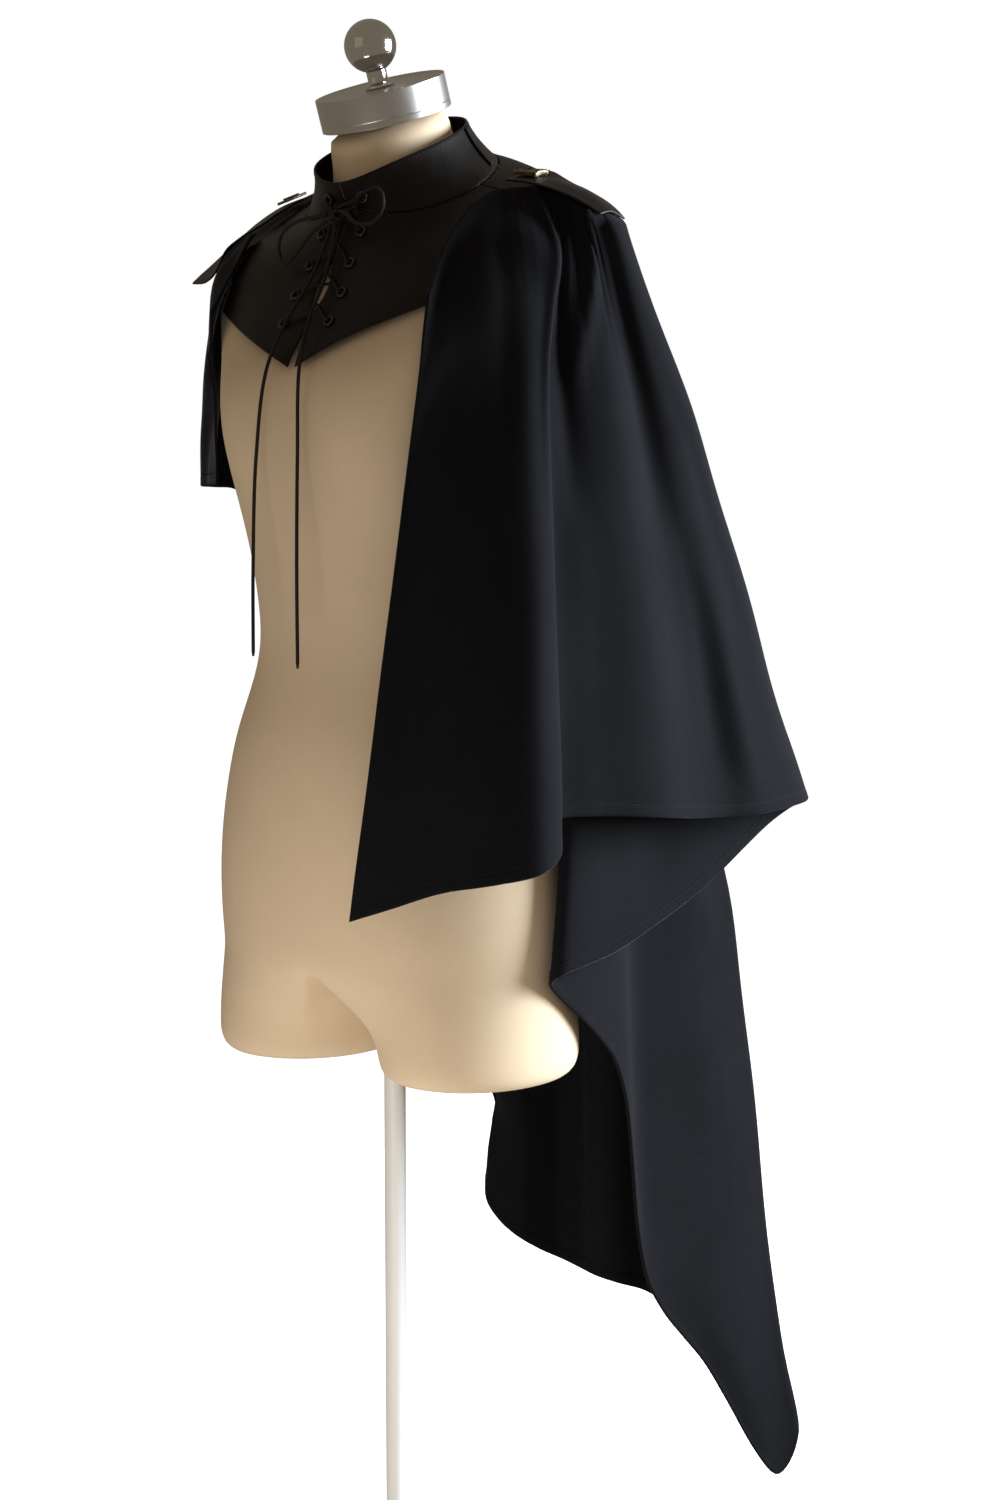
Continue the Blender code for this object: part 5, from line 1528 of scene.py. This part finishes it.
class CAPE_OT_lace(bpy.types.Operator):
    """Thread the lace through the eyelets and tie its bow"""

    bl_idname = "cape_look.lace"
    bl_label = "Lace"

    def execute(self, context):
        braid = cord_finish(context.scene.cape_look)
        cords = [(f"lace_lacing_{word}", f"lace_run_{word}", self.run_line(side), LACE_RADIUS, "object", "taut")
                 for word, side in SIDES]
        cords += [(name, node, even_line(table, 90), FREE_LACE_RADIUS, end, "hanging")
                  for name, node, table, end in FREE_LACES]
        for name, node, line, radius, end, lay in cords:
            cord, length = cord_piece(name, line, radius, braid)
            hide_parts(node)
        turn = np.linspace(0, KNOT_TURNS * 2 * math.pi, 70)
        wrap = np.array(KNOT_PLACE) + np.stack([np.linspace(-KNOT_WRAP, KNOT_WRAP, 70),
                                                KNOT_HALF[1] * 0.72 * np.sin(turn),
                                                KNOT_HALF[2] * 0.72 * np.cos(turn)], axis=1)
        knot, _ = cord_piece("lace_bow_knot", wrap, LACE_RADIUS * 1.08, braid)
        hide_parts("lace_knot")
        return {"FINISHED"}

    def run_line(self, side):
        """One run of lace from the lowest eyelet up to the knot: over its own front, then under the other."""
        places = []
        now = side
        for k in range(len(EYELETS) - 1, -1, -1):
            z, x = EYELETS[k]
            under = LACE_UNDER - (LACE_NECK_DROP if k < 2 else 0.0)
            places.append((now * x, z, under if k == 0 else LACE_UNDER))
            places.append((now * x, z, -0.0008))
            places.append((now * x * 0.95, z + 0.0004, LACE_HUMP))
            if k == 0:
                break
            next_z, next_x = EYELETS[k - 1]
            reach = x + next_x
            for share, lift in ((0.0068 / reach, LACE_OVER + 0.001), ((x - LACE_EDGE) / reach, LACE_OVER - 0.0002),
                                (x / reach, LACE_MIDDLE), ((x + LACE_EDGE) / reach, under + 0.0002)):
                bow = now * LACE_BOW * math.sin(math.pi * share) ** 2
                places.append((now * (x - reach * share), z + (next_z - z) * share + bow, lift))
            now = -now
        places.append((now * 0.0125, 1.356, LACE_HUMP + 0.001))
        places = np.array(places)
        points = front_leather(places[:, 0], places[:, 1], places[:, 2])[0]
        end = np.array(KNOT_PLACE) + np.array([now * (KNOT_HALF[0] + 0.0013), 0.002, 0.0022])
        points = np.concatenate([points, end[None]])
        spread = chord_places(points)
        fine = np.interp(np.arange((len(points) - 1) * 7 + 1) / 7, np.arange(len(points)), spread)
        return smooth(fine, spread, points)


class CAPE_OT_stage(bpy.types.Operator):
    """Set the floor, the lights and the photo's camera"""

    bl_idname = "cape_look.stage"
    bl_label = "Stage"

    def execute(self, context):
        look = context.scene.stage_look
        scene = context.scene
        fresh()
        bpy.ops.mesh.primitive_plane_add(size=60.0, location=(0, 0, 0))
        floor = bpy.context.object
        floor.name = "studio_floor"
        floor.data.materials.append(floor_finish(look))
        floor.visible_diffuse = False
        floor.visible_glossy = False
        world = bpy.data.worlds.new("pale_surround")
        scene.world = world
        world.use_nodes = True
        tree = world.node_tree
        back = tree.nodes["Background"]
        back.inputs["Color"].default_value = WARM_SURROUND
        back.inputs["Strength"].default_value = look.surround
        seen = tree.nodes.new("ShaderNodeBackground")
        seen.inputs["Color"].default_value = (1.0, 1.0, 1.0, 1.0)
        seen.inputs["Strength"].default_value = 1.0
        path = tree.nodes.new("ShaderNodeLightPath")
        mix = tree.nodes.new("ShaderNodeMixShader")
        tree.links.new(path.outputs["Is Camera Ray"], mix.inputs["Fac"])
        tree.links.new(back.outputs["Background"], mix.inputs[1])
        tree.links.new(seen.outputs["Background"], mix.inputs[2])
        tree.links.new(mix.outputs["Shader"], tree.nodes["World Output"].inputs["Surface"])
        for word, place, target, size, colour in LAMPS:
            self.lamp(f"{word}_light", place, target, size, getattr(look, f"{word}_power"), colour)
        camera = bpy.data.objects.new("photo_camera", bpy.data.cameras.new("photo_camera"))
        scene.collection.objects.link(camera)
        camera.location = CAMERA_PLACE
        camera.rotation_euler = Vector(CAMERA_LOOK).to_track_quat("-Z", "Y").to_euler()
        camera.data.sensor_fit = "VERTICAL"
        camera.data.sensor_height = CAMERA_SENSOR
        camera.data.lens = CAMERA_LENS
        scene.camera = camera
        scene.view_settings.view_transform = "Standard"
        return {"FINISHED"}

    def lamp(self, name, place, target, size, power, colour):
        """A soft square light that faces a point."""
        light = bpy.data.lights.new(name, "AREA")
        light.shape = "SQUARE"
        light.size = size
        light.energy = power
        light.color = colour
        obj = bpy.data.objects.new(name, light)
        bpy.context.scene.collection.objects.link(obj)
        obj.location = place
        obj.rotation_euler = (Vector(target) - Vector(place)).to_track_quat("-Z", "Y").to_euler()


class CAPE_PT_panel(bpy.types.Panel):
    """Steps and values of the cape's looks"""

    bl_idname = "CAPE_PT_panel"
    bl_label = "Cape"
    bl_space_type = "VIEW_3D"
    bl_region_type = "UI"
    bl_category = "Cape"

    def draw(self, context):
        for group in (context.scene.cape_look, context.scene.stage_look):
            for key in group.bl_rna.properties.keys():
                if key not in {"rna_type", "name"}:
                    self.layout.prop(group, key)
        for step in STEPS:
            self.layout.operator(step.bl_idname)


STEPS = (CAPE_OT_stage, CAPE_OT_lace, CAPE_OT_form, CAPE_OT_stand, CAPE_OT_cloth, CAPE_OT_collar, CAPE_OT_flaps,
         CAPE_OT_eyelets)
CLASSES = (CapeLook, StageLook, *STEPS, CAPE_PT_panel)


def register():
    """Register the classes and their values."""
    for cls in CLASSES:
        bpy.utils.register_class(cls)
    bpy.types.Scene.cape_look = bpy.props.PointerProperty(type=CapeLook)
    bpy.types.Scene.stage_look = bpy.props.PointerProperty(type=StageLook)


def unregister():
    """Take the classes and their values away again."""
    del bpy.types.Scene.stage_look
    del bpy.types.Scene.cape_look
    for cls in reversed(CLASSES):
        bpy.utils.unregister_class(cls)


def main():
    """Build every piece in order."""
    register()
    bpy.ops.cape_look.stage()
    bpy.ops.cape_look.lace()
    bpy.ops.cape_look.form()
    bpy.ops.cape_look.stand()
    bpy.ops.cape_look.cloth()
    bpy.ops.cape_look.collar()
    bpy.ops.cape_look.flaps()
    bpy.ops.cape_look.eyelets()


if __name__ == "__main__":
    main()
